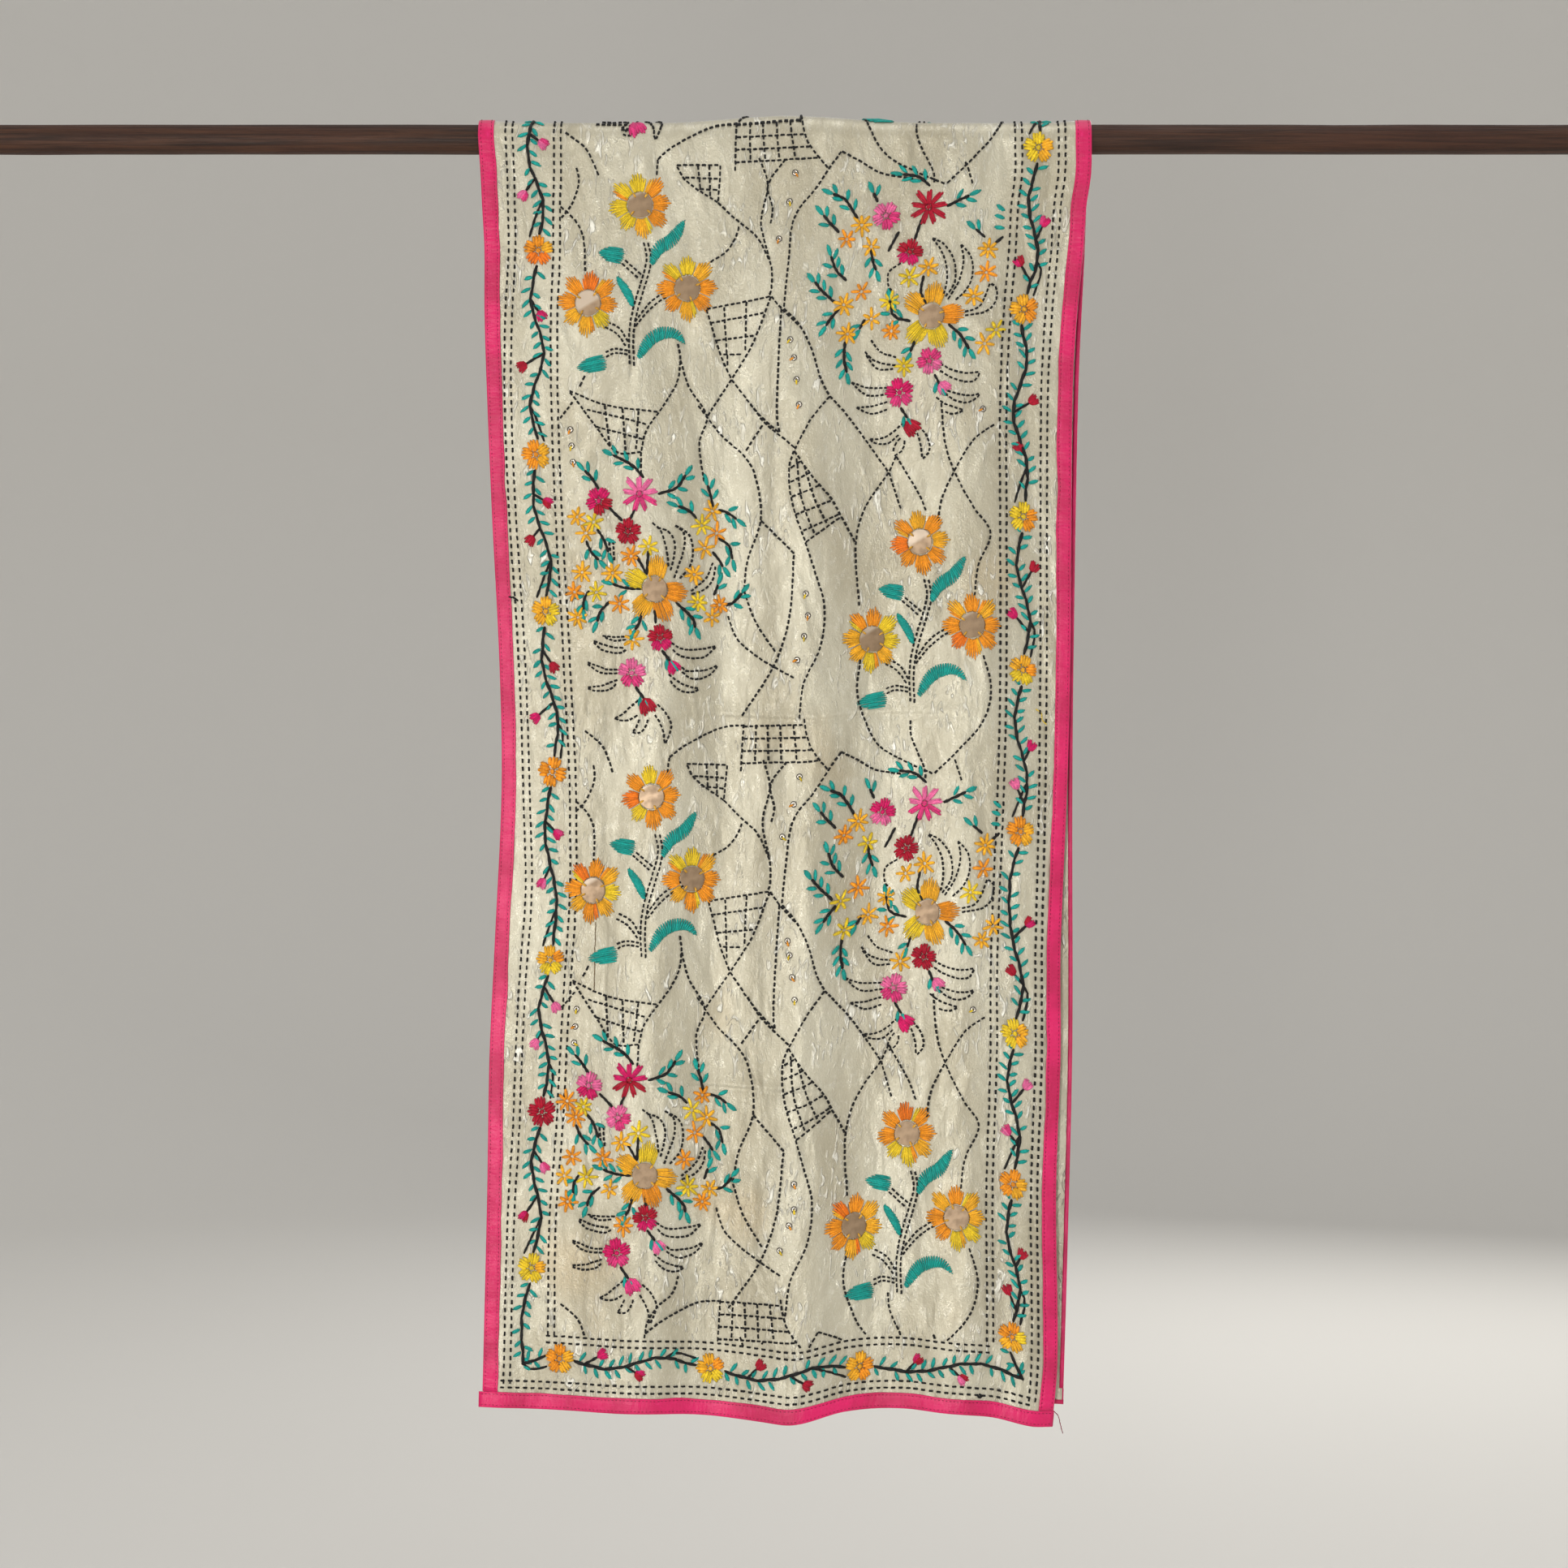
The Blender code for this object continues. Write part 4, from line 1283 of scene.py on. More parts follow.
# The stems of a spray, in mm to the right and up from its top flower's middle
SPRAY_STEMS = (
    ((-7.8, -128), (-8.7, -108), (-7, -90.5), (-2.6, -73), (1.7, -59), (5.2, -43.5), (2.6, -28.7)),
    ((-4.4, -129), (-5.2, -108), (-3.5, -91), (1, -74), (5.3, -60), (8.7, -44), (6, -29)),
    ((0.9, -55.7), (-13, -43.5)), ((-1.6, -58.5), (-15.4, -46)), ((-9.6, -109.7), (-16, -99), (-27, -93)),
    ((-11, -113), (-19, -102.5), (-29, -97)), ((-4, -94), (1.5, -86), (8, -78), (16, -72), (24, -67.6)),
    ((-3.5, -97.5), (2.5, -89.5), (9.5, -82), (17, -76), (26, -70.5)),
    ((-9.6, -120), (-20, -118.4), (-27.9, -121.9)), ((-9.6, -116.8), (-20, -115), (-28.4, -118)),
)


class Leaf(NamedTuple):
    """A leaf: its spine in offsets from the top flower, its width and the slant of its
    stitches over the spine, or no slant where they run along it."""

    spine: tuple
    width: float
    slant: float


SPRAY_LEAVES = (
    Leaf(((9, -46.5), (14, -35.5), (26, -27), (35.5, -12.5)), 11.5, 1.2),
    Leaf(((-11.5, -41.5), (-33.6, -37.4)), 15, 0),
    Leaf(((-6.8, -80.3), (-11, -69), (-17.4, -57.3)), 7.5, 0.6),
    Leaf(((-0.9, -122), (8, -108), (18.5, -102.5), (28.5, -103.5), (35.5, -110.5)), 11, 1.3),
    Leaf(((-25.5, -125), (-51, -130)), 15.5, 0),
)


class Forms(NamedTuple):
    """Where a bouquet's forms are, in offsets from its mirror in mm, to the right and up.

    A rose has its size too, a bud its turn in degrees and its size, and a leaf without a
    stem its turn.
    """

    petal_turns: tuple
    plumes: tuple
    twigs: tuple
    stems: tuple
    roses: tuple
    buds: tuple
    wide_star: tuple
    leaves: tuple
    stars: tuple


RIGHT_FORMS = Forms(
    petal_turns=(6, 85, 143, 230, 292),
    plumes=(
        ((1, 62), (7, 54), (12, 41), (12.5, 27), (10, 16)),
        ((1, 62), (9, 58.5), (18, 45.5), (19, 27.5), (11, 14.5)),
        ((24, 57), (26, 44), (22, 27.5), (13, 12.5)), ((24, 57), (32, 47), (33, 32), (28, 21), (19, 12)),
        ((47, 26), (42, 13), (37, 6), (26, 3)), ((27, 0), (45, 4), (52, 13), (52, 23), (47, 26)),
        ((-48, -19), (-41, -28), (-27, -33)), ((-53, -28), (-48, -34), (-38, -38), (-27, -39)),
        ((-52, -31), (-43, -42), (-29, -42)), ((-64, -53), (-52, -57), (-34, -57)),
        ((-64, -53), (-52, -63), (-33, -62)), ((-60, -73), (-48, -72), (-34, -68)),
        ((-60, -73), (-48, -78), (-34, -74)), ((7, -38), (15, -43), (27, -46), (39, -45)),
        ((7, -44), (15, -49), (27, -53), (35, -52), (39, -45)),
        ((13, -60), (22, -63), (32, -64), (39, -62)),
        ((11, -62), (17, -67), (26, -70), (35, -67), (39, -62)),
        ((4, -65), (10, -70), (17, -73), (26, -76)),
        ((11, -77), (17, -79), (22, -78), (26, -76)), ((-24, 42), (-34, 35), (-34, 23), (-31, 20)),
        ((-49, -98), (-42, -98), (-34, -95), (-26, -89), (-21, -84)),
        ((-49, -98), (-46, -101), (-40, -102), (-33, -101), (-25, -94)),
        ((-24, -97), (-29, -103), (-30, -109)), ((-21, -99), (-22, -106), (-28, -111), (-30, -112)),
        ((-10, -88), (-5, -93), (-2, -99), (-1, -108), (-7, -115)), ((-11, -93), (-8, -103), (-7, -114)),
    ),
    twigs=(
        ((-59, 78), (-69, 93), (-78, 97)), ((-74, 67), (-82, 75), (-86, 80)),
        ((-68, 28), (-76, 36), (-80, 47)), ((-48, 53), (-46, 42), (-44, 37)),
        ((-77, 10), (-87, 19), (-93, 26)), ((-74, 5), (-81, -3), (-84, -8)), ((-53, -3), (-57, -10)),
        ((-69, -21), (-70, -34), (-68, -45)), ((-17, -4), (-30, 0), (-33, 12)),
        ((14, -7), (23, -15), (30, -26)), ((-13, -20), (-16, -28)), ((-1, 104), (-10, 111), (-22, 113)),
        ((13, 88), (30, 96)), ((-43, 91), (-46, 98)), ((43, 63), (36, 69)), ((3, -47), (7, -55)),
        ((-24, -73), (-19, -81)),
    ),
    stems=(
        ((-26, 67), (-34, 52)), ((-7, 78), (-13, 61)), ((-6, 32), (-8, 18), (-4, 10)), ((51, 58), (57, 63)),
    ),
    roses=((-36, 80, 10), (-17, 51, 9.5), (-1, -36, 9.5), (-25, -61, 10.5)),
    buds=((10, -57, -50, 12), (-15.5, -88.5, -42, 15)),
    wide_star=(-2, 87),
    leaves=((52, 89, -35), (50.5, 80.5, -15), (50, 71, -5)),
    stars=(
        (-55.5, 72.6), (-67.4, 61.3), (-47.9, 55.2), (-17.4, 30.8), (-2.1, 38.7), (-55.7, 19.5),
        (-70, 8.7), (-32.9, 11.7), (-47.7, -2.3), (-31.7, -11.8), (-67, -14.5), (-21.6, -39.7),
        (45.8, 53.4), (44, 34.8), (33.9, 15.7), (51.9, -11), (42.7, -22.3),
    ),
)

LEFT_FORMS = Forms(
    petal_turns=(-6, 82, 152, 232, 292),
    plumes=(
        ((-2, 53), (5, 46), (9, 32), (11, 17)), ((2, 49), (11, 46), (16, 36), (15, 25), (12, 14)),
        ((16, 51), (23, 45), (23, 31), (18, 17), (15, 8)),
        ((16, 51), (26, 45), (30, 35), (28, 19), (19, 8)),
        ((46, 22), (41, 10), (28, -2)), ((48, 19), (46, 8), (39, 0), (28, -4)), ((-36, 38), (-35, 21)),
        ((-33, 39), (-32, 22)), ((-42, -37), (-33, -38), (-27, -38), (-19, -38)),
        ((-40, -38), (-33, -41), (-28, -41), (-22, -40)), ((-49, -41), (-41, -44), (-34, -46), (-24, -47)),
        ((-49, -42), (-43, -48), (-36, -50), (-27, -51), (-22, -48)),
        ((-54, -58), (-46, -61), (-38, -64), (-29, -64)), ((-54, -59), (-48, -64), (-41, -67), (-29, -67)),
        ((-54, -78), (-43, -77), (-37, -75), (-29, -72)),
        ((-54, -79), (-48, -81), (-41, -81), (-34, -79), (-30, -75)),
        ((-32, -103), (-26, -100), (-19, -94), (-12, -88)),
        ((-32, -103), (-26, -105), (-19, -104), (-13, -100)),
        ((-12, -104), (-15, -111), (-18, -114), (-12, -115), (-7, -110), (-5, -103)),
        ((0, -100), (4, -107), (7, -115), (7, -120), (8, -124)),
        ((2, -92), (8, -98), (13, -108), (12, -114), (8, -124)),
        ((13, -43), (22, -48), (32, -48), (41, -47), (49, -45)),
        ((14, -48), (19, -53), (29, -55), (39, -54), (43, -51), (49, -45)),
        ((21, -62), (24, -65), (33, -65), (42, -64), (50, -60)),
        ((21, -66), (26, -70), (32, -72), (42, -69), (47, -65), (50, -60)),
        ((11, -68), (16, -72), (20, -75), (28, -78), (35, -79)),
        ((12, -73), (16, -78), (23, -82), (31, -82), (35, -79)),
    ),
    twigs=(
        ((-45, 81), (-51, 90), (-56, 95)), ((-9, 89), (-17, 98), (-33, 107)), ((3, 76), (17, 81), (24, 91)),
        ((-46, 48), (-41, 41), (-37, 30)), ((-55, 39), (-51, 30), (-45, 24)),
        ((-53, -1), (-57, -8), (-57, -15)), ((-36, -10), (-44, -18), (-46, -25)),
        ((-11, 0), (-24, 1), (-33, 4)), ((46, 67), (44, 77), (42, 83)), ((51, 64), (58, 62), (65, 57)),
        ((33, 57), (27, 63), (19, 66)), ((51, 41), (59, 36), (62, 25)), ((46, 30), (51, 24), (54, 19)),
        ((47, -4), (50, 4)), ((57, -12), (63, -10), (69, -3)), ((17, -11), (25, -18), (31, -25), (32, -30)),
        ((-10, -17), (-12, -27), (-15, -32)), ((6, -49), (12, -57)), ((-15, -78), (-9, -87)),
    ),
    stems=(
        ((-36, 65), (-26, 55)), ((-14, 68), (-19, 56)), ((-14, 26), (-6, 12)), ((-5, 30), (-6, 12)),
        ((0, -15), (1, -27)),
    ),
    roses=((-44.5, 71, 10), (-21, 46, 9.5), (4.5, -39, 9.5), (-18, -67, 10.5)),
    buds=((14.5, -62, -55, 12), (-6, -93, -66, 15)),
    wide_star=(-12, 76),
    leaves=(),
    stars=(
        (-55.4, 45.5), (-4.9, 34), (-18.8, 26.4), (-58.4, 14), (-33.6, 13.2), (-46.8, -2),
        (-28, -11.5), (-17, -40.1), (-62.6, 58.4), (-49.2, 54.1), (-64.7, -1.7), (-61.9, -22.2),
        (45.6, 63.2), (37.2, 51.5), (49, 45.3), (39.5, 33.3),
        (31.2, 12), (34, -10.1), (51.6, -11.9), (45.6, -22.2),
    ),
)


class Bouquet(NamedTuple):
    """What sets one bouquet apart: how far over and up its lower part is from where the
    chart has it, and the dyes of its petals, roses, buds, wide star and small stars."""

    forms: Forms
    low_shift: tuple
    petals: str
    roses: tuple
    buds: str
    wide_star: str
    stars: str


BOUQUETS = (
    Bouquet(RIGHT_FORMS, (0, 0), "oggyy", ("pr", "cm", "rp", "mr"), "pc", "c", "gogy"),
    Bouquet(LEFT_FORMS, (0, 0), "ogygo", ("mc", "c", "cm", "pr"), "mc", "rp", "gyog"),
    Bouquet(RIGHT_FORMS, (-2, 0), "ogyyg", ("mp", "cc", "c", "pr"), "pm", "rp", "goyg"),
    Bouquet(LEFT_FORMS, (-4, 5), "gyggo", ("pm", "pr", "cm", "mr"), "pr", "cm", "oygo"),
)

# The forms that start lower than this are a bouquet's lower part
LOW_PART = -31

# The petals of each spray's top, left and right flower, from straight up and clockwise
SPRAY_PETALS = (
    ("yooogyyy", "dooyggoo", "ygoogooy"),
    ("gogooodo", "oyygyggo", "ogooodog"),
    ("yooooydo", "ogygogod", "ygooogoy"),
    ("doogyyoo", "oggygood", "oggyyoog"),
)
ROSE_SEED = 31

# How far the bud just behind the fold is drawn up, to show on it
RIDGE_DRAW = 20 * MM
RIDGE_LINES = (
    ((-129, -1.6), (-124.6, -0.4), (-119.7, -2), (-119, -7.7)), ((-127, -4), (-124, -8), (-120, -10)),
    ((-151, -11), (-137, -11), (-124, -11)),
)
LOW_LINE = ((-85, 911), (-89, 924), (-102, 935.5), (-110, 949), (-111, 957))


def in_mm(points):
    """Places that are given in mm, in metres."""
    return np.array(points, float) * MM


def unhung(points):
    """The places on the flat cloth of places on the front drop as it hangs."""
    x, below = in_mm(points).T
    left, right = drop_sides(FRONT, below)
    across = (x - left) / (right - left) * CLOTH_WIDTH - HALF_WIDTH
    share = below / read_column(FRONT.hem, across, "below")
    along = -QUARTER_TURN - share * (FRONT_LENGTH - QUARTER_TURN)
    return np.stack([across, along], -1)


# How far across the network reaches on each side, and its lowest and highest place
NET_LIMITS = (183 * MM, -982 * MM, 978 * MM)


def stitch_network(stitches):
    """The lines and nets over the ground, repeated along both drops."""
    for repeat in range(-1, 5):
        shift = np.array([0, PATTERN_REPEAT * (repeat - 1)])
        for line in (*NETWORK, *LATTICES):
            places = unhung(line) + shift
            if repeat == 0:
                slack = 1 - ease(in_mm(line)[:, 1] / (130 * MM))
                places += np.outer(slack, (3 * MM, -6 * MM))
            elif repeat == -1:
                places += (-5 * MM, 7 * MM)
            run_stitch(stitches, places, limits=NET_LIMITS)


def stitch_ridge(stitches):
    """The bouquet's lines behind the fold, which end on its front, and one low down."""
    for line in (*RIDGE_LINES, LOW_LINE):
        run_stitch(stitches, unhung(line), 4.2 * MM)


def hung_place(place):
    """Where a place on the flat cloth hangs on the front drop, as unhung takes it."""
    across, along = place
    share = (-along - QUARTER_TURN) / (FRONT_LENGTH - QUARTER_TURN)
    below = share * read_column(FRONT.hem, across, "below")
    left, right = drop_sides(FRONT, below)
    return np.array([left + (across / CLOTH_WIDTH + 0.5) * (right - left), below]) / MM


def around(middle, offsets):
    """The flat places of offsets in mm, over to the right and up as the cloth hangs."""
    return unhung(hung_place(middle) + np.array(offsets, float) * (1, -1))


def stitch_sunflower(stitches, middle, dyes, turn):
    """The petals round one mirror.  Every third one has some threads of another's dye."""
    for number, dye in enumerate(dyes):
        angle = turn + math.pi / 2 - 2 * math.pi * number / len(dyes)
        second = dyes[(number + 3) % len(dyes)] if number % 3 == 1 else dye
        outer = (26.5 + 1.6 * math.sin(2.1 * number)) * MM
        width = (16.4 + 1.8 * math.sin(3.3 * number + turn)) * MM
        petal(stitches, middle, angle, 10.2 * MM, outer, width, (dye, dye, second), 8, 0.32, 0.31)


def stitch_spray(stitches, lines, flowers, petals, shift):
    """Three sunflowers on one branch, the top one first."""
    for place, letters, turn in zip(flowers, petals, (0.12, -0.08, 0.05)):
        stitch_sunflower(stitches, in_mm(place) + shift, dyed(letters), turn)
    top = in_mm(flowers[0])
    for line in SPRAY_STEMS:
        run_stitch(lines, around(top, line) + shift, 4.4 * MM)
    for leaf in SPRAY_LEAVES:
        spine = around(top, leaf.spine) + shift
        if leaf.slant:
            satin_leaf(stitches, spine, leaf.width * MM, leaf.slant)
        else:
            oval_leaf(stitches, spine, leaf.width * MM)


def stitch_bouquet(stitches, lines, home, bouquet, shift, rng):
    """The flowers, stars, plumes and twigs round one mirror."""
    forms = bouquet.forms

    def places(offsets):
        """Where a form's offsets are on the cloth."""
        moved = bouquet.low_shift if offsets[0][1] < LOW_PART else (0, 0)
        return around(home, np.array(offsets, float) + moved) + shift

    for angle, dye in zip(forms.petal_turns, dyed(bouquet.petals)):
        turn = math.radians(angle)
        petal(stitches, home + shift, turn, 10 * MM, 28.5 * MM, 21 * MM, (dye,), 11, 0.34, 0.58)
    for line in forms.plumes:
        run_stitch(lines, places(line), 4.2 * MM)
    for line in forms.twigs:
        twig(stitches, places(line))
    for line in forms.stems:
        stem(stitches, places(line))
    for (*offset, size), letters in zip(forms.roses, bouquet.roses):
        turn = rng.uniform(0, 1.2)
        rosette(stitches, places([offset])[0], 1.2 * size * MM, 5, dyed(letters), turn)
    for (*offset, angle, size), dye in zip(forms.buds, dyed(bouquet.buds)):
        place = places([offset])[0]
        if 0 < place[1] < RIDGE_DRAW:
            place[1] -= RIDGE_DRAW
        bud(stitches, place, math.radians(angle), size * MM, size * MM, (dye, dye))
    wide_star(stitches, places([forms.wide_star])[0], 15.2 * MM, dyed(bouquet.wide_star))
    for *offset, angle in forms.leaves:
        small_leaf(stitches, places([offset])[0], math.radians(angle))
    dyes = dyed(bouquet.stars)
    for number, offset in enumerate(forms.stars):
        place = around(home, [offset])[0] + shift
        radius, rays = rng.uniform(7.8, 9.8) * MM, int(rng.integers(6, 9))
        star(stitches, place, radius, rays, dyes[number % len(dyes)], rng.uniform(0, 1))


# The border: rosettes and buds on a vine that runs round the stole


class Spot(NamedTuple):
    """A flower on the border and the letters of its dyes.

    Its place is in mm: over to the right and below the rod's axis as it hangs for the
    two sides, and across and along the flat cloth for the two ends.
    """

    across: float
    along: float
    dyes: str


def spots(*rows):
    """The flowers in rows of a place and letters."""
    return [Spot(*row) for row in rows]


LEFT_ROSES = spots(
    (-196.4, 91, "odg"), (-198.7, 254, "og"), (-191, 379.5, "gy"), (-185.6, 508, "o"),
    (-187.2, 659, "gyo"), (-194, 780.5, "c"), (-202.2, 905.5, "yyg"),
)
RIGHT_ROSES = spots(
    (203.5, 9, "yg"), (192, 138, "go"), (191.4, 304, "yo"), (191, 426.5, "gyo"), (189, 556, "og"),
    (184.5, 717.5, "yg"), (183, 838, "og"), (182.4, 960, "ogy"),
)
END_ROSES = spots(
    (-179.6, -1001.5, "og"), (-51, -1005, "gyo"), (76, -1007.5, "go"),
)
LEFT_BUDS = spots(
    (-193.8, 5, "pr"), (-208, 46, "pr"), (-194.8, 142, "mm"), (-208.6, 183, "cc"), (-190.5, 291.5, "cm"),
    (-202.5, 321.5, "cc"), (-185.3, 423, "cc"), (-198.4, 464, "mm"), (-182, 557, "mr"),
    (-193.5, 596.5, "rp"), (-183.3, 695.5, "pp"), (-199, 725, "pp"), (-192.7, 824, "pr"),
    (-207.8, 863, "mc"),
)
RIGHT_BUDS = spots(
    (207.8, 69, "mr"), (188.6, 101, "cm"), (198.5, 211, "cc"), (188.6, 249.5, "cc"), (199.6, 345, "cc"),
    (183.7, 382.5, "mm"), (197.3, 488.5, "mm"), (185.3, 519, "pp"), (195.2, 629.5, "mc"),
    (182.5, 668, "cc"), (193.5, 759.5, "pp"), (178.8, 796, "rp"), (189.8, 895, "cc"),
    (179.3, 923.5, "cc"),
)
END_BUDS = spots(
    (-144, -996.5, "mm"), (-112, -1010.5, "cm"), (-9, -999, "cc"), (31, -1012, "cc"),
    (125, -1003.5, "cm"), (163, -1013.5, "pc"),
)

# Midway between the two dashed lines of each pair, from the back's end down to the front's
LEFT_OUTER_PAIR = (
    (-224, 1018), (-222, 60), (-220.2, 0), (-221.5, -92), (-227.5, -240), (-225, -450), (-223, -546),
    (-217.5, -628), (-219, -694), (-220.5, -808), (-224, -890), (-224.5, -1026),
)
LEFT_INNER_PAIR = (
    (-187, 984), (-184, 60), (-181.1, 0), (-185, -92), (-188.4, -240), (-186.3, -450), (-182.4, -546),
    (-178.8, -628), (-179.9, -694), (-183, -808), (-188, -890), (-187.5, -986),
)
RIGHT_INNER_PAIR = ((186.4, 984), (186.4, 0), (186.4, -986))
RIGHT_OUTER_PAIR = ((222, 1018), (221.1, 0), (221.5, -460), (224.8, -670), (224.8, -1026))
SIDE_PAIRS = (LEFT_OUTER_PAIR, LEFT_INNER_PAIR, RIGHT_INNER_PAIR, RIGHT_OUTER_PAIR)
END_OUTER_PAIR = (-1026, -1020.5)
END_INNER_PAIR = (-990.3, -985)


# The vine: how long its swings and stitches are, and how far it and its fork stop short
# of a rose
VINE_SWING = 44 * MM
VINE_PITCH = 9 * MM
ROSE_CLEAR = 13 * MM
FORK_SHORT = 11.5 * MM


class Run(NamedTuple):
    """A straight run of the vine: its start, the way it goes and the way to its left."""

    start: np.ndarray
    way: np.ndarray
    aside: np.ndarray

    def mark(self, spot):
        """How far along the run a flower is, and how far to its left."""
        offset = in_mm(spot[:2]) - self.start
        return offset @ self.way, offset @ self.aside

    def place(self, ahead, left):
        return self.start + self.way * ahead + self.aside * left


def vine_path(run, number, near, far, last, bud_marks):
    """The vine from one rose to the next, with each swing away from the buds beside it."""
    swings = max(int(round((far[0] - near[0]) / VINE_SWING)), 1)
    steps = [(near[0] + ROSE_CLEAR, near[1] - 1.5 * MM) if number else near]
    for k in range(1, swings):
        share = k / swings
        here = near[0] + (far[0] - near[0]) * share
        straight = near[1] * (1 - share) + far[1] * share
        side = 1 if (k + number) % 2 else -1
        beside = [mark for mark in bud_marks if abs(mark[0] - here) < 20 * MM]
        if beside:
            nearest = min(beside, key=lambda mark: abs(mark[0] - here))
            side = -1 if nearest[1] > straight else 1
        steps.append((here, straight + side * (5.6 + 1.5 * math.sin(3.1 * k + number)) * MM))
    steps.append(far if last else (far[0] - ROSE_CLEAR, far[1] + 1.5 * MM))
    return smooth_path([run.place(*step) for step in steps], VINE_PITCH)


def stitch_fork(stitches, run, path, rose, side):
    """A thin branch that leaves the vine just before a rose, on one side of it."""
    parting = path[max(len(path) - 4, 0)]
    bend = parting + run.way * 8 * MM + run.aside * side * 4 * MM
    tip = run.place(rose[0] - FORK_SHORT, rose[1] + side * 7 * MM)
    stem(stitches, (parting, bend, tip), 2.4 * MM, 7 * MM)


def stitch_trunk(stitches, run, path, number, lean):
    """The vine's own stitches, with a leaf on each side of them but for one in nine."""
    for k, (here, there) in enumerate(zip(path, path[1:])):
        step = there - here
        lap = step * 0.17
        stray = run.aside * 0.5 * MM * (1 if k % 2 else -1)
        stitches.add(here - lap - stray, there + lap + stray, 3.2 * MM, BLACK, 0.5 * MM)
        turn = heading(step)
        for side in (-1, 1):
            if (k * 7 + number + side) % 9 == 0:
                continue
            spread = 1 + 0.16 * math.sin(3.7 * k + side)
            angle = turn + side * (spread if lean > 0 else math.pi - spread)
            foot = here + step * (0.2 + 0.25 * side)
            foot += towards(turn + side * math.pi / 2) * 0.8 * MM
            small_leaf(stitches, foot, angle, (9 + 1.1 * math.sin(5 * k + side)) * MM, 3.7 * MM)


def stitch_vine(stitches, roses, buds, start, end, lean):
    """A vine between two places through its roses, with a leaf each side all the way.

    Between two roses it swings from side to side.  Lean is 1 where leaves point the
    way that the vine goes from start to end, and -1 where they point back.
    """
    line = np.array(end) - np.array(start)
    length = np.linalg.norm(line)
    way = line / length
    run = Run(np.array(start), way, np.array([-way[1], way[0]]))
    stops = [(0.0, 0.0), *sorted(run.mark(rose) for rose in roses), (length, 0.0)]
    bud_marks = [run.mark(spot) for spot in buds]
    trunk = []
    for number, (near, far) in enumerate(zip(stops, stops[1:])):
        last = number == len(stops) - 2
        path = vine_path(run, number, near, far, last, bud_marks)
        trunk.extend(path)
        if not last:
            stitch_fork(stitches, run, path, far, 1 if number % 2 else -1)
        stitch_trunk(stitches, run, path, number, lean)
    for spot in buds:
        place = in_mm(spot[:2])
        before = place - way * lean * 9 * MM
        root = min(trunk, key=lambda point: np.linalg.norm(point - before))
        turn = heading(place - root)
        stem(stitches, (root, place - towards(turn) * 3.5 * MM), 2.6 * MM, 7 * MM)
        bud(stitches, place + towards(turn) * 1 * MM, turn, 10.5 * MM, 9.5 * MM, dyed(spot.dyes))
    for number, spot in enumerate(roses):
        petals = 4 if spot.dyes == "o" else 5
        turn = 0.25 * math.sin(1.7 * number) + (0 if petals == 4 else math.pi / 2)
        rosette(stitches, in_mm(spot[:2]), 12.8 * MM, petals, dyed(spot.dyes), turn)


# The vine down each side: its roses, its buds, how far across it starts on the rod and
# ends at the hems, in mm, and which way its leaves lean
VINE_SIDES = ((LEFT_ROSES, LEFT_BUDS, -200, -211, 1), (RIGHT_ROSES, RIGHT_BUDS, 204, 215, -1))
VINE_ENDS = (-211 * MM, 215 * MM)
VINE_LOW = -1007 * MM
VINE_HIGH = 1002 * MM
BORDER_DASH = 0.62
PAIR_HALF = 2.75 * MM


def laid(flowers):
    """The flowers of a side, at their places on the flat cloth."""
    places = unhung([spot[:2] for spot in flowers]) / MM
    return [Spot(*place, spot.dyes) for place, spot in zip(places, flowers)]


def later(flowers, first, spare):
    """The flowers of a side one pair of repeats on, where they're on the back drop."""
    shift = 2 * PATTERN_REPEAT / MM
    moved = [spot._replace(along=spot.along + shift) for spot in flowers]
    return [spot for spot in moved if first < spot.along < VINE_HIGH / MM - spare]


def end_behind(along):
    """The place at the back end that matches one at the front end, in mm."""
    return -along - 5


def turned(flowers):
    """The front end's flowers, turned about for the back end."""
    return [spot._replace(along=end_behind(spot.along), across=-spot.across) for spot in flowers]


def stitch_borders(front, back, lines):
    """The vines down both sides and along both ends, and the double lines beside them."""
    for roses, buds, top, foot, lean in VINE_SIDES:
        roses, buds, top, foot = laid(roses), laid(buds), (top * MM, 0), foot * MM
        stitch_vine(front, roses, buds, top, (foot, VINE_LOW), lean)
        stitch_vine(back, later(roses, 12, 30), later(buds, 8, 20), (foot, VINE_HIGH), top, lean)
    first, last = VINE_ENDS
    stitch_vine(front, END_ROSES, END_BUDS, (first, VINE_LOW), (last, VINE_LOW), 1)
    flowers = turned(END_ROSES), turned(END_BUDS)
    stitch_vine(back, *flowers, (-first, VINE_HIGH), (-last, VINE_HIGH), 1)
    for line in SIDE_PAIRS:
        for aside in (-PAIR_HALF, PAIR_HALF):
            run_stitch(lines, in_mm(line) + (aside, 0), BORDER_PITCH, BORDER_DASH)
    for along in END_OUTER_PAIR:
        for place in (along, end_behind(along)):
            line = ((-230, place), (0, place), (226, place))
            run_stitch(lines, in_mm(line), BORDER_PITCH, BORDER_DASH)
    for along in END_INNER_PAIR:
        for place, tilt in ((along, -1.5), (end_behind(along), 1.5)):
            line = ((-192, place - tilt), (0, place), (189, place + tilt))
            run_stitch(lines, in_mm(line), BORDER_PITCH, BORDER_DASH)


MIRROR_THICK = 0.9 * MM
MIRROR_SEAT = 0.55 * MM
MIRROR_SIDES = 40

# The reach and height of a mirror's rings, as shares of its radius and thickness
MIRROR_PROFILE = ((0.97, 0), (1, 0.25), (1, 0.75), (0.965, 1), (0.6, 1))
RIM_THREAD = colour(232, 176, 62)
RIM_SEED = 9


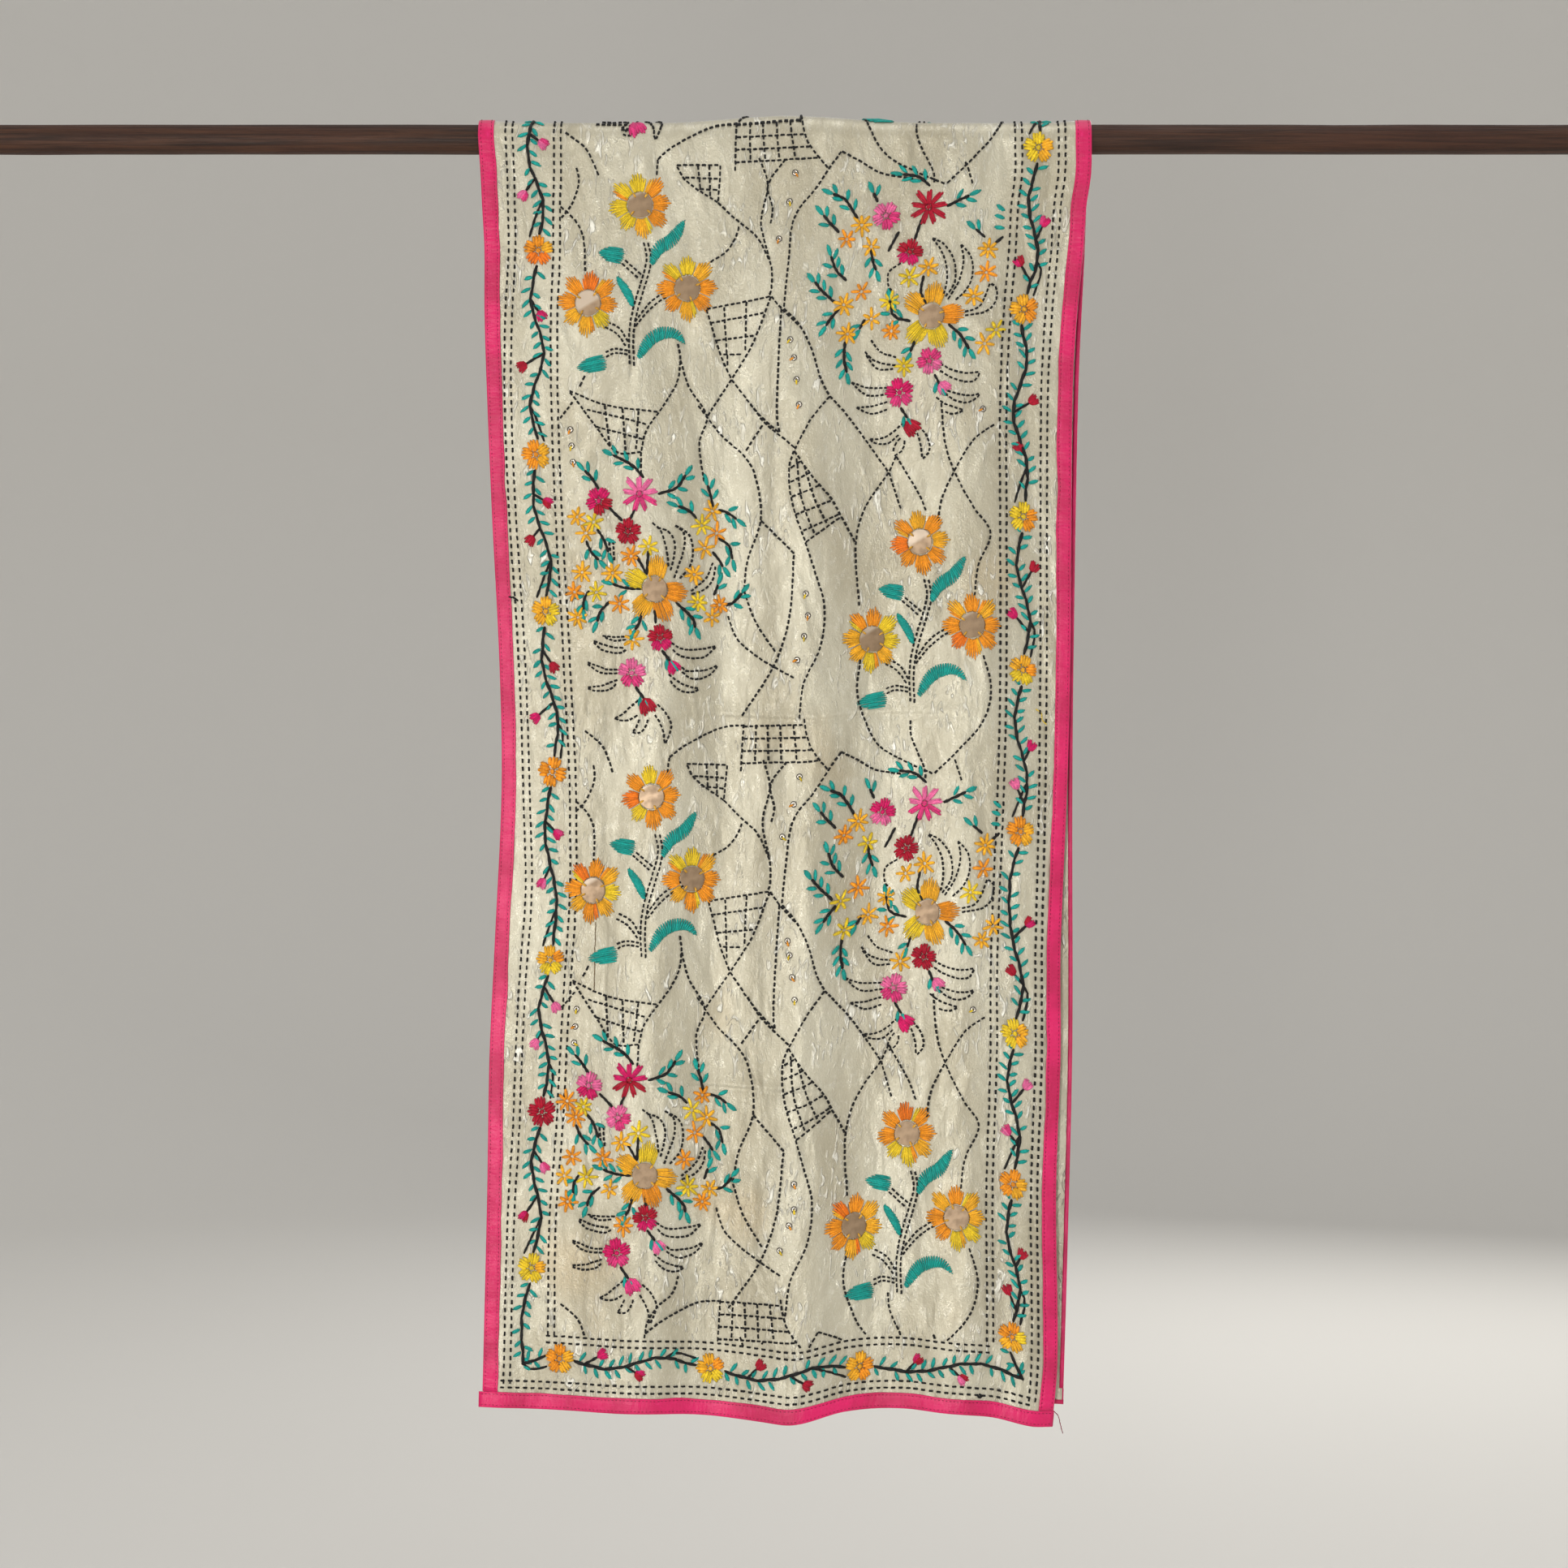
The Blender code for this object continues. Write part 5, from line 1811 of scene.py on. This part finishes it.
def mirror_frame(across, along):
    """The middle of a mirror's place on the cloth and the ways out of it, right and up."""
    middle = cloth_point(across, along, 0)
    step = 6 * MM
    sideways = cloth_point(across + step, along, 0) - cloth_point(across - step, along, 0)
    lengthways = cloth_point(across, along + step, 0) - cloth_point(across, along - step, 0)
    face = np.cross(sideways, lengthways)
    face /= np.linalg.norm(face)
    sideways -= face * (sideways @ face)
    sideways /= np.linalg.norm(sideways)
    return middle, face, sideways, np.cross(face, sideways)


def mirror_seat(across, along, middle, face, *_):
    """How high over the cloth's middle a mirror sits, to clear the cloth under its rim."""
    turns = circle(MIRROR_SIDES)
    rim_across = across + MIRROR_RADIUS * np.cos(turns)
    rim_along = along + MIRROR_RADIUS * np.sin(turns)
    under = cloth_point(rim_across, rim_along, SILK_WALL / 2)
    return max(MIRROR_SEAT, float(np.max((under - middle) @ face)) + 0.05 * MM)


def stitch_rims(stitches):
    """Four small orange stitches that hold each mirror's rim."""
    rng = np.random.default_rng(RIM_SEED)
    for middle in all_mirrors():
        lift = mirror_seat(*middle, *mirror_frame(*middle)) + MIRROR_THICK
        for number in range(4):
            turn = rng.uniform(0.3, 1.1) + math.pi / 2 * number
            outer = middle + towards(turn) * 11.3 * MM
            inner = middle + towards(turn) * 6.9 * MM
            stitches.add(outer, inner, 1.9 * MM, RIM_THREAD, 0.4 * MM, lift)


# Sequins, in mm on the front drop as it hangs: right of the middle, below the rod's axis
SEQUINS = (
    (9, 29), (4.5, 52), (-4, 82), (5, 163), (8, 177.5), (10, 195), (12, 215), (17.5, 366),
    (19, 383.5), (16, 400), (10.5, 419), (12.5, 512), (8, 534), (-1, 560), (3, 643), (4.5, 654.5),
    (6.5, 672), (8.5, 690), (8, 837), (8, 857), (4, 870), (-3, 890), (-171, 234), (-170, 247),
    (-169, 260), (-166, 698), (-167, 712), (-168, 725), (159, 218), (151, 698),
)


SEQUIN_SEED = 17
SEQUIN_SIDES = 10
LAST_SEQUIN = 960 * MM

# How far from a sequin's middle and how high its rings are, in mm
SEQUIN_PROFILE = ((2.4, 0.1), (2.7, 0.7), (2.4, 1.3), (1.6, 1.8), (0.9, 1.7), (0.6, 0.9))


def make_sequins(stitches):
    """Small clear cut-glass beads, each held by a stitch of orange or yellow thread."""
    rng = np.random.default_rng(SEQUIN_SEED)
    points, faces = [], []
    turns = circle(SEQUIN_SIDES)
    places = unhung(SEQUINS)
    behind = places + (0, 2 * PATTERN_REPEAT)
    places = np.concatenate([places, behind[behind[:, 1] < LAST_SEQUIN]])
    for number, place in enumerate(places):
        start = number * SEQUIN_SIDES * len(SEQUIN_PROFILE)
        for reach, up in SEQUIN_PROFILE:
            swing = reach * MM * np.stack([np.cos(turns), np.sin(turns)])
            points.append(cloth_point(*(place[:, None] + swing), SILK_WALL / 2 + up * MM))
        faces.append(grid_quads(len(SEQUIN_PROFILE), SEQUIN_SIDES, True, True, start))
        dye = dyed("oy")[number % 2]
        turn = rng.normal(-math.pi / 2, 0.5)
        stitches.add(place, place + towards(turn) * 4.4 * MM, 1.9 * MM, dye, 1.8 * MM, 0.5 * MM)
    return new_piece("sequins", np.concatenate(points), faces, BEAD)


# Loose ends of thread, in mm on the front drop as it hangs
LOOSE_THREADS = (
    (BLACK, 2, ((-220.5, 367.5), (-216.5, 368.3), (-213.3, 371))),
    (BLACK, 2, ((154.5, 1006), (156, 1008.2), (157.8, 1006.5), (155.6, 1005.4))),
    (DYES["y"], 1, ((201.6, 458), (206, 461), (207, 467), (210.4, 470))),
    (colour(128, 106, 74), 0.8, ((-150.8, 628), (-151.4, 655), (-151.8, 684))),
    (RIBBON_THREAD, 0.8, ((214.5, 1019), (219.5, 1024), (221.5, 1032), (223.6, 1038))),
)


def stitch_loose_threads(stitches):
    """The few ends of thread that weren't cut off."""
    for dye, width, line in LOOSE_THREADS:
        stem(stitches, unhung(line), width * MM, 2.5 * MM, dye)


# How strong each flower's mirror's painted reflection is, from the front drop's first to its last
PAINTED_MIRROR_SHINE = (
    0.2, 0.64, 0.16, 0.2, 0.52, 0.3, 0.18, 0.1, 0.18, 0.3, 0.08, 0.14, 0.08, 0.12, 0.08, 0.03,
)


def make_mirrors(name, places, seed, nodes):
    """The hand-cut round mirrors of one drop, each with a softened rim."""
    rng = np.random.default_rng(seed)
    turns = circle(MIRROR_SIDES)
    first, following = ring_pairs(MIRROR_SIDES)
    points, faces, tones = [], [], []
    for (across, along), painted_shine_level in zip(places, PAINTED_MIRROR_SHINE):
        wobble = 1 + 0.012 * np.sin(2 * turns + rng.uniform(0, 6))
        wobble += 0.008 * np.sin(3 * turns + rng.uniform(0, 6))
        middle, face, sideways, lengthways = mirror_frame(across, along)
        round_it = np.cos(turns)[:, None] * sideways + np.sin(turns)[:, None] * lengthways
        seat = mirror_seat(across, along, middle, face)
        rings = []
        for reach, up in MIRROR_PROFILE:
            swing = round_it * (MIRROR_RADIUS * reach * wobble)[:, None]
            rings.append(middle + swing + face * (seat + MIRROR_THICK * up))
        rings.append((middle + face * (seat + MIRROR_THICK))[None, :])
        rings.append((middle + face * seat)[None, :])
        start = sum(len(part) for part in points)
        points.append(np.concatenate(rings))
        off = (points[-1] - middle) / MIRROR_RADIUS
        tones.append(np.stack([off @ sideways, off @ lengthways, np.full(len(off), painted_shine_level)], -1))
        faces.append(grid_quads(len(MIRROR_PROFILE), MIRROR_SIDES, wrap_columns=True, start=start))
        hub = start + len(MIRROR_PROFILE) * MIRROR_SIDES
        top = hub - MIRROR_SIDES
        faces.append(np.stack([top + first, top + following, np.full(MIRROR_SIDES, hub)], -1))
        faces.append(np.stack([start + following, start + first, np.full(MIRROR_SIDES, hub + 1)], -1))
    places = {"mirror_place": np.concatenate(tones)}
    piece = new_piece(name, np.concatenate(points), faces, GLASS, places)
    piece.data.set_sharp_from_angle(angle=math.radians(30))
    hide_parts(*nodes)
    return piece


FLOOR = -1.3
FLOOR_COLOUR = colour(218, 216, 212)
STAGE_RADIUS = 5.2
STAGE_BEND = 1.6
STAGE_TOP = 3.4
STAGE_SIDES = 72

# The rings of its flat part: the smallest is closed by one face
STAGE_FLAT = (0.01, 1, 2.5)


def make_stage():
    """A pale round floor that curves up into a low wall all round."""
    rows = [(radius, 0) for radius in STAGE_FLAT]
    for turn in np.linspace(0, math.pi / 2, 13):
        radius = STAGE_RADIUS - STAGE_BEND * (1 - math.sin(turn))
        rows.append((radius, STAGE_BEND * (1 - math.cos(turn))))
    rows.append((STAGE_RADIUS, STAGE_TOP))
    turns = circle(STAGE_SIDES)
    points = [(r * math.cos(a), r * math.sin(a), FLOOR + z) for r, z in rows for a in turns]
    mesh = bpy.data.meshes.new("studio_floor")
    quads = grid_quads(len(rows), STAGE_SIDES, wrap_columns=True)[:, ::-1]
    faces = [list(range(STAGE_SIDES)), *quads.tolist()]
    mesh.from_pydata(points, [], faces)
    mesh.shade_smooth()
    look = Look("studio_floor", Roughness=0.8, Base_Color=FLOOR_COLOUR)
    mesh.materials.append(look.material)
    backdrop = add_object("studio_floor", mesh)
    backdrop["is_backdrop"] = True


class Light(NamedTuple):
    """A soft light: what it's aimed at, its width and height in metres, and its watts."""

    name: str
    place: tuple
    target: tuple
    size: tuple
    power: float
    tint: tuple


STOLE_MIDDLE = (0, 0, -0.55)
WARM = (1.0, 0.98, 0.94)
LIGHTS = (
    Light("key", (-1.5, -2.4, -0.45), STOLE_MIDDLE, (0.8, 1.1), 15, WARM),
    Light("strip", (-0.24, -2.7, -0.8), (-0.05, 0, -0.8), (0.22, 1.4), 25, (1.0, 1.0, 0.98)),
    Light("fill", (2.2, -2.0, -0.5), STOLE_MIDDLE, (1.4, 1.4), 6, (0.95, 0.97, 1.0)),
    Light("top", (0.3, -0.5, 2.0), STOLE_MIDDLE, (1.2, 1.2), 9, (1.0, 1.0, 1.0)),
    Light("behind", (1.2, 2.6, 0.5), STOLE_MIDDLE, (1.6, 1.6), 30, WARM),
)
SKY_COLOUR = (0.98, 0.97, 0.95, 1)
SKY_STRENGTH = 0.65
CAMERA_PLACE = (0, -2.83, -0.5178)
CAMERA_LENS = 80.86
CAMERA_SENSOR = 36
CAMERA_REACH = 30


def add_light(light):
    """Add one of the lights, turned towards its target."""
    data = bpy.data.lights.new(light.name, "AREA")
    data.shape = "RECTANGLE"
    data.size, data.size_y = light.size
    data.energy = light.power
    data.color = light.tint
    lamp = add_object(light.name, data)
    lamp.location = light.place
    aim = Vector(light.target) - Vector(light.place)
    lamp.rotation_euler = aim.to_track_quat("-Z", "Y").to_euler()


def light_scene():
    """A plain pale room and five soft lights."""
    world = bpy.data.worlds.new("studio")
    bpy.context.scene.world = world
    world.use_nodes = True
    background = world.node_tree.nodes["Background"]
    background.inputs["Color"].default_value = SKY_COLOUR
    background.inputs["Strength"].default_value = SKY_STRENGTH
    for light in LIGHTS:
        add_light(light)


def add_camera():
    """Level with the stole's middle and straight in front of it."""
    data = bpy.data.cameras.new("camera")
    data.lens = CAMERA_LENS
    data.sensor_width = CAMERA_SENSOR
    data.clip_end = CAMERA_REACH
    camera = add_object("camera", data)
    camera.location = CAMERA_PLACE
    camera.rotation_euler = (math.pi / 2, 0, 0)
    bpy.context.scene.camera = camera


def set_colours():
    """Plain colours, so that the dyes look as they are named."""
    bpy.context.scene.view_settings.view_transform = "Standard"


def write_sizes():
    """Work out the boxes of the solids and of the pieces made here."""
    boxes = {"cad": CAD_BOX, "visual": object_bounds()}
    plain = {name: [list(corner) for corner in box] for name, box in boxes.items()}


FINE_LINE = {"sides": 4, "shares": (0.12, 0.88)}
SPRAY_SEED, BOUQUET_SEED, VINE_SEED = 41, 42, 43
LOOSE_SEED, GROUND_SEED, BORDER_SEED, TOPPING_SEED = 44, 45, 46, 47


def make_all_mirrors():
    """The mirrors of the front drop, then those of the back one."""
    places = all_mirrors()
    half = len(FRONT_MIRRORS)
    made = []
    for drop, some, seed in (("front", places[:half], 21), ("back", places[half:], 22)):
        nodes = [f"mirror_{drop}_{number:02d}" for number in range(1, half + 1)]
        made.append(make_mirrors(f"mirrors_{drop}", some, seed, nodes))
    return made


def sew_flowers(lines, vines):
    """The sprays, bouquets and vines of each drop.  Lines takes their running stitch."""
    rng = np.random.default_rng(ROSE_SEED)
    sewn = []
    for drop, shift, vine in zip(("front", "back"), (0.0, 2 * PATTERN_REPEAT), vines):
        sprays, bouquets = Stitches(), Stitches()
        for number, petals in enumerate(SPRAY_PETALS):
            flowers = FRONT_MIRRORS[4 * number : 4 * number + 3]
            stitch_spray(sprays, lines, flowers, petals, (0, shift))
        for home, bouquet in zip(in_mm(FRONT_MIRRORS[3::4]), BOUQUETS):
            stitch_bouquet(bouquets, lines, home, bouquet, (0, shift), rng)
        sewn.append(sprays.make(f"embroidered_sprays_{drop}", SPRAY_SEED))
        sewn.append(bouquets.make(f"embroidered_bouquets_{drop}", BOUQUET_SEED))
        sewn.append(vine.make(f"embroidered_border_{drop}", VINE_SEED))
    return sewn


def sew_all():
    """All of the sewing, as pieces."""
    lines, bordering = Stitches(**FINE_LINE), Stitches(**FINE_LINE)
    stitch_network(lines)
    stitch_ridge(lines)
    vines = [Stitches(), Stitches()]
    stitch_borders(*vines, bordering)
    sewn = sew_flowers(lines, vines)
    rims = Stitches()
    stitch_rims(rims)
    sewn.append(make_sequins(rims))
    stitch_loose_threads(rims)
    sewn.append(rims.make("mirror_stitches", LOOSE_SEED))
    sewn.append(lines.make("running_stitch_ground", GROUND_SEED))
    sewn.append(bordering.make("running_stitch_border", BORDER_SEED))
    topping = Stitches(sides=4, shares=(0.2, 0.8))
    for _, length, place_at, seed, _, joins in ribbon_runs():
        stitch_ribbon(topping, length, place_at, seed, joins)
    sewn.append(topping.make("ribbon_stitches", TOPPING_SEED))
    return sewn


def build():
    """Make every piece, then the stage, the lights and the camera."""
    silk = make_cloth()
    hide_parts("stole_panel")
    ribbons = [make_ribbon(*run) for run in ribbon_runs()]
    make_rod()
    mirrors = make_all_mirrors()
    sewn = sew_all()
    make_stage()
    light_scene()
    add_camera()
    set_colours()
    write_sizes()


build()
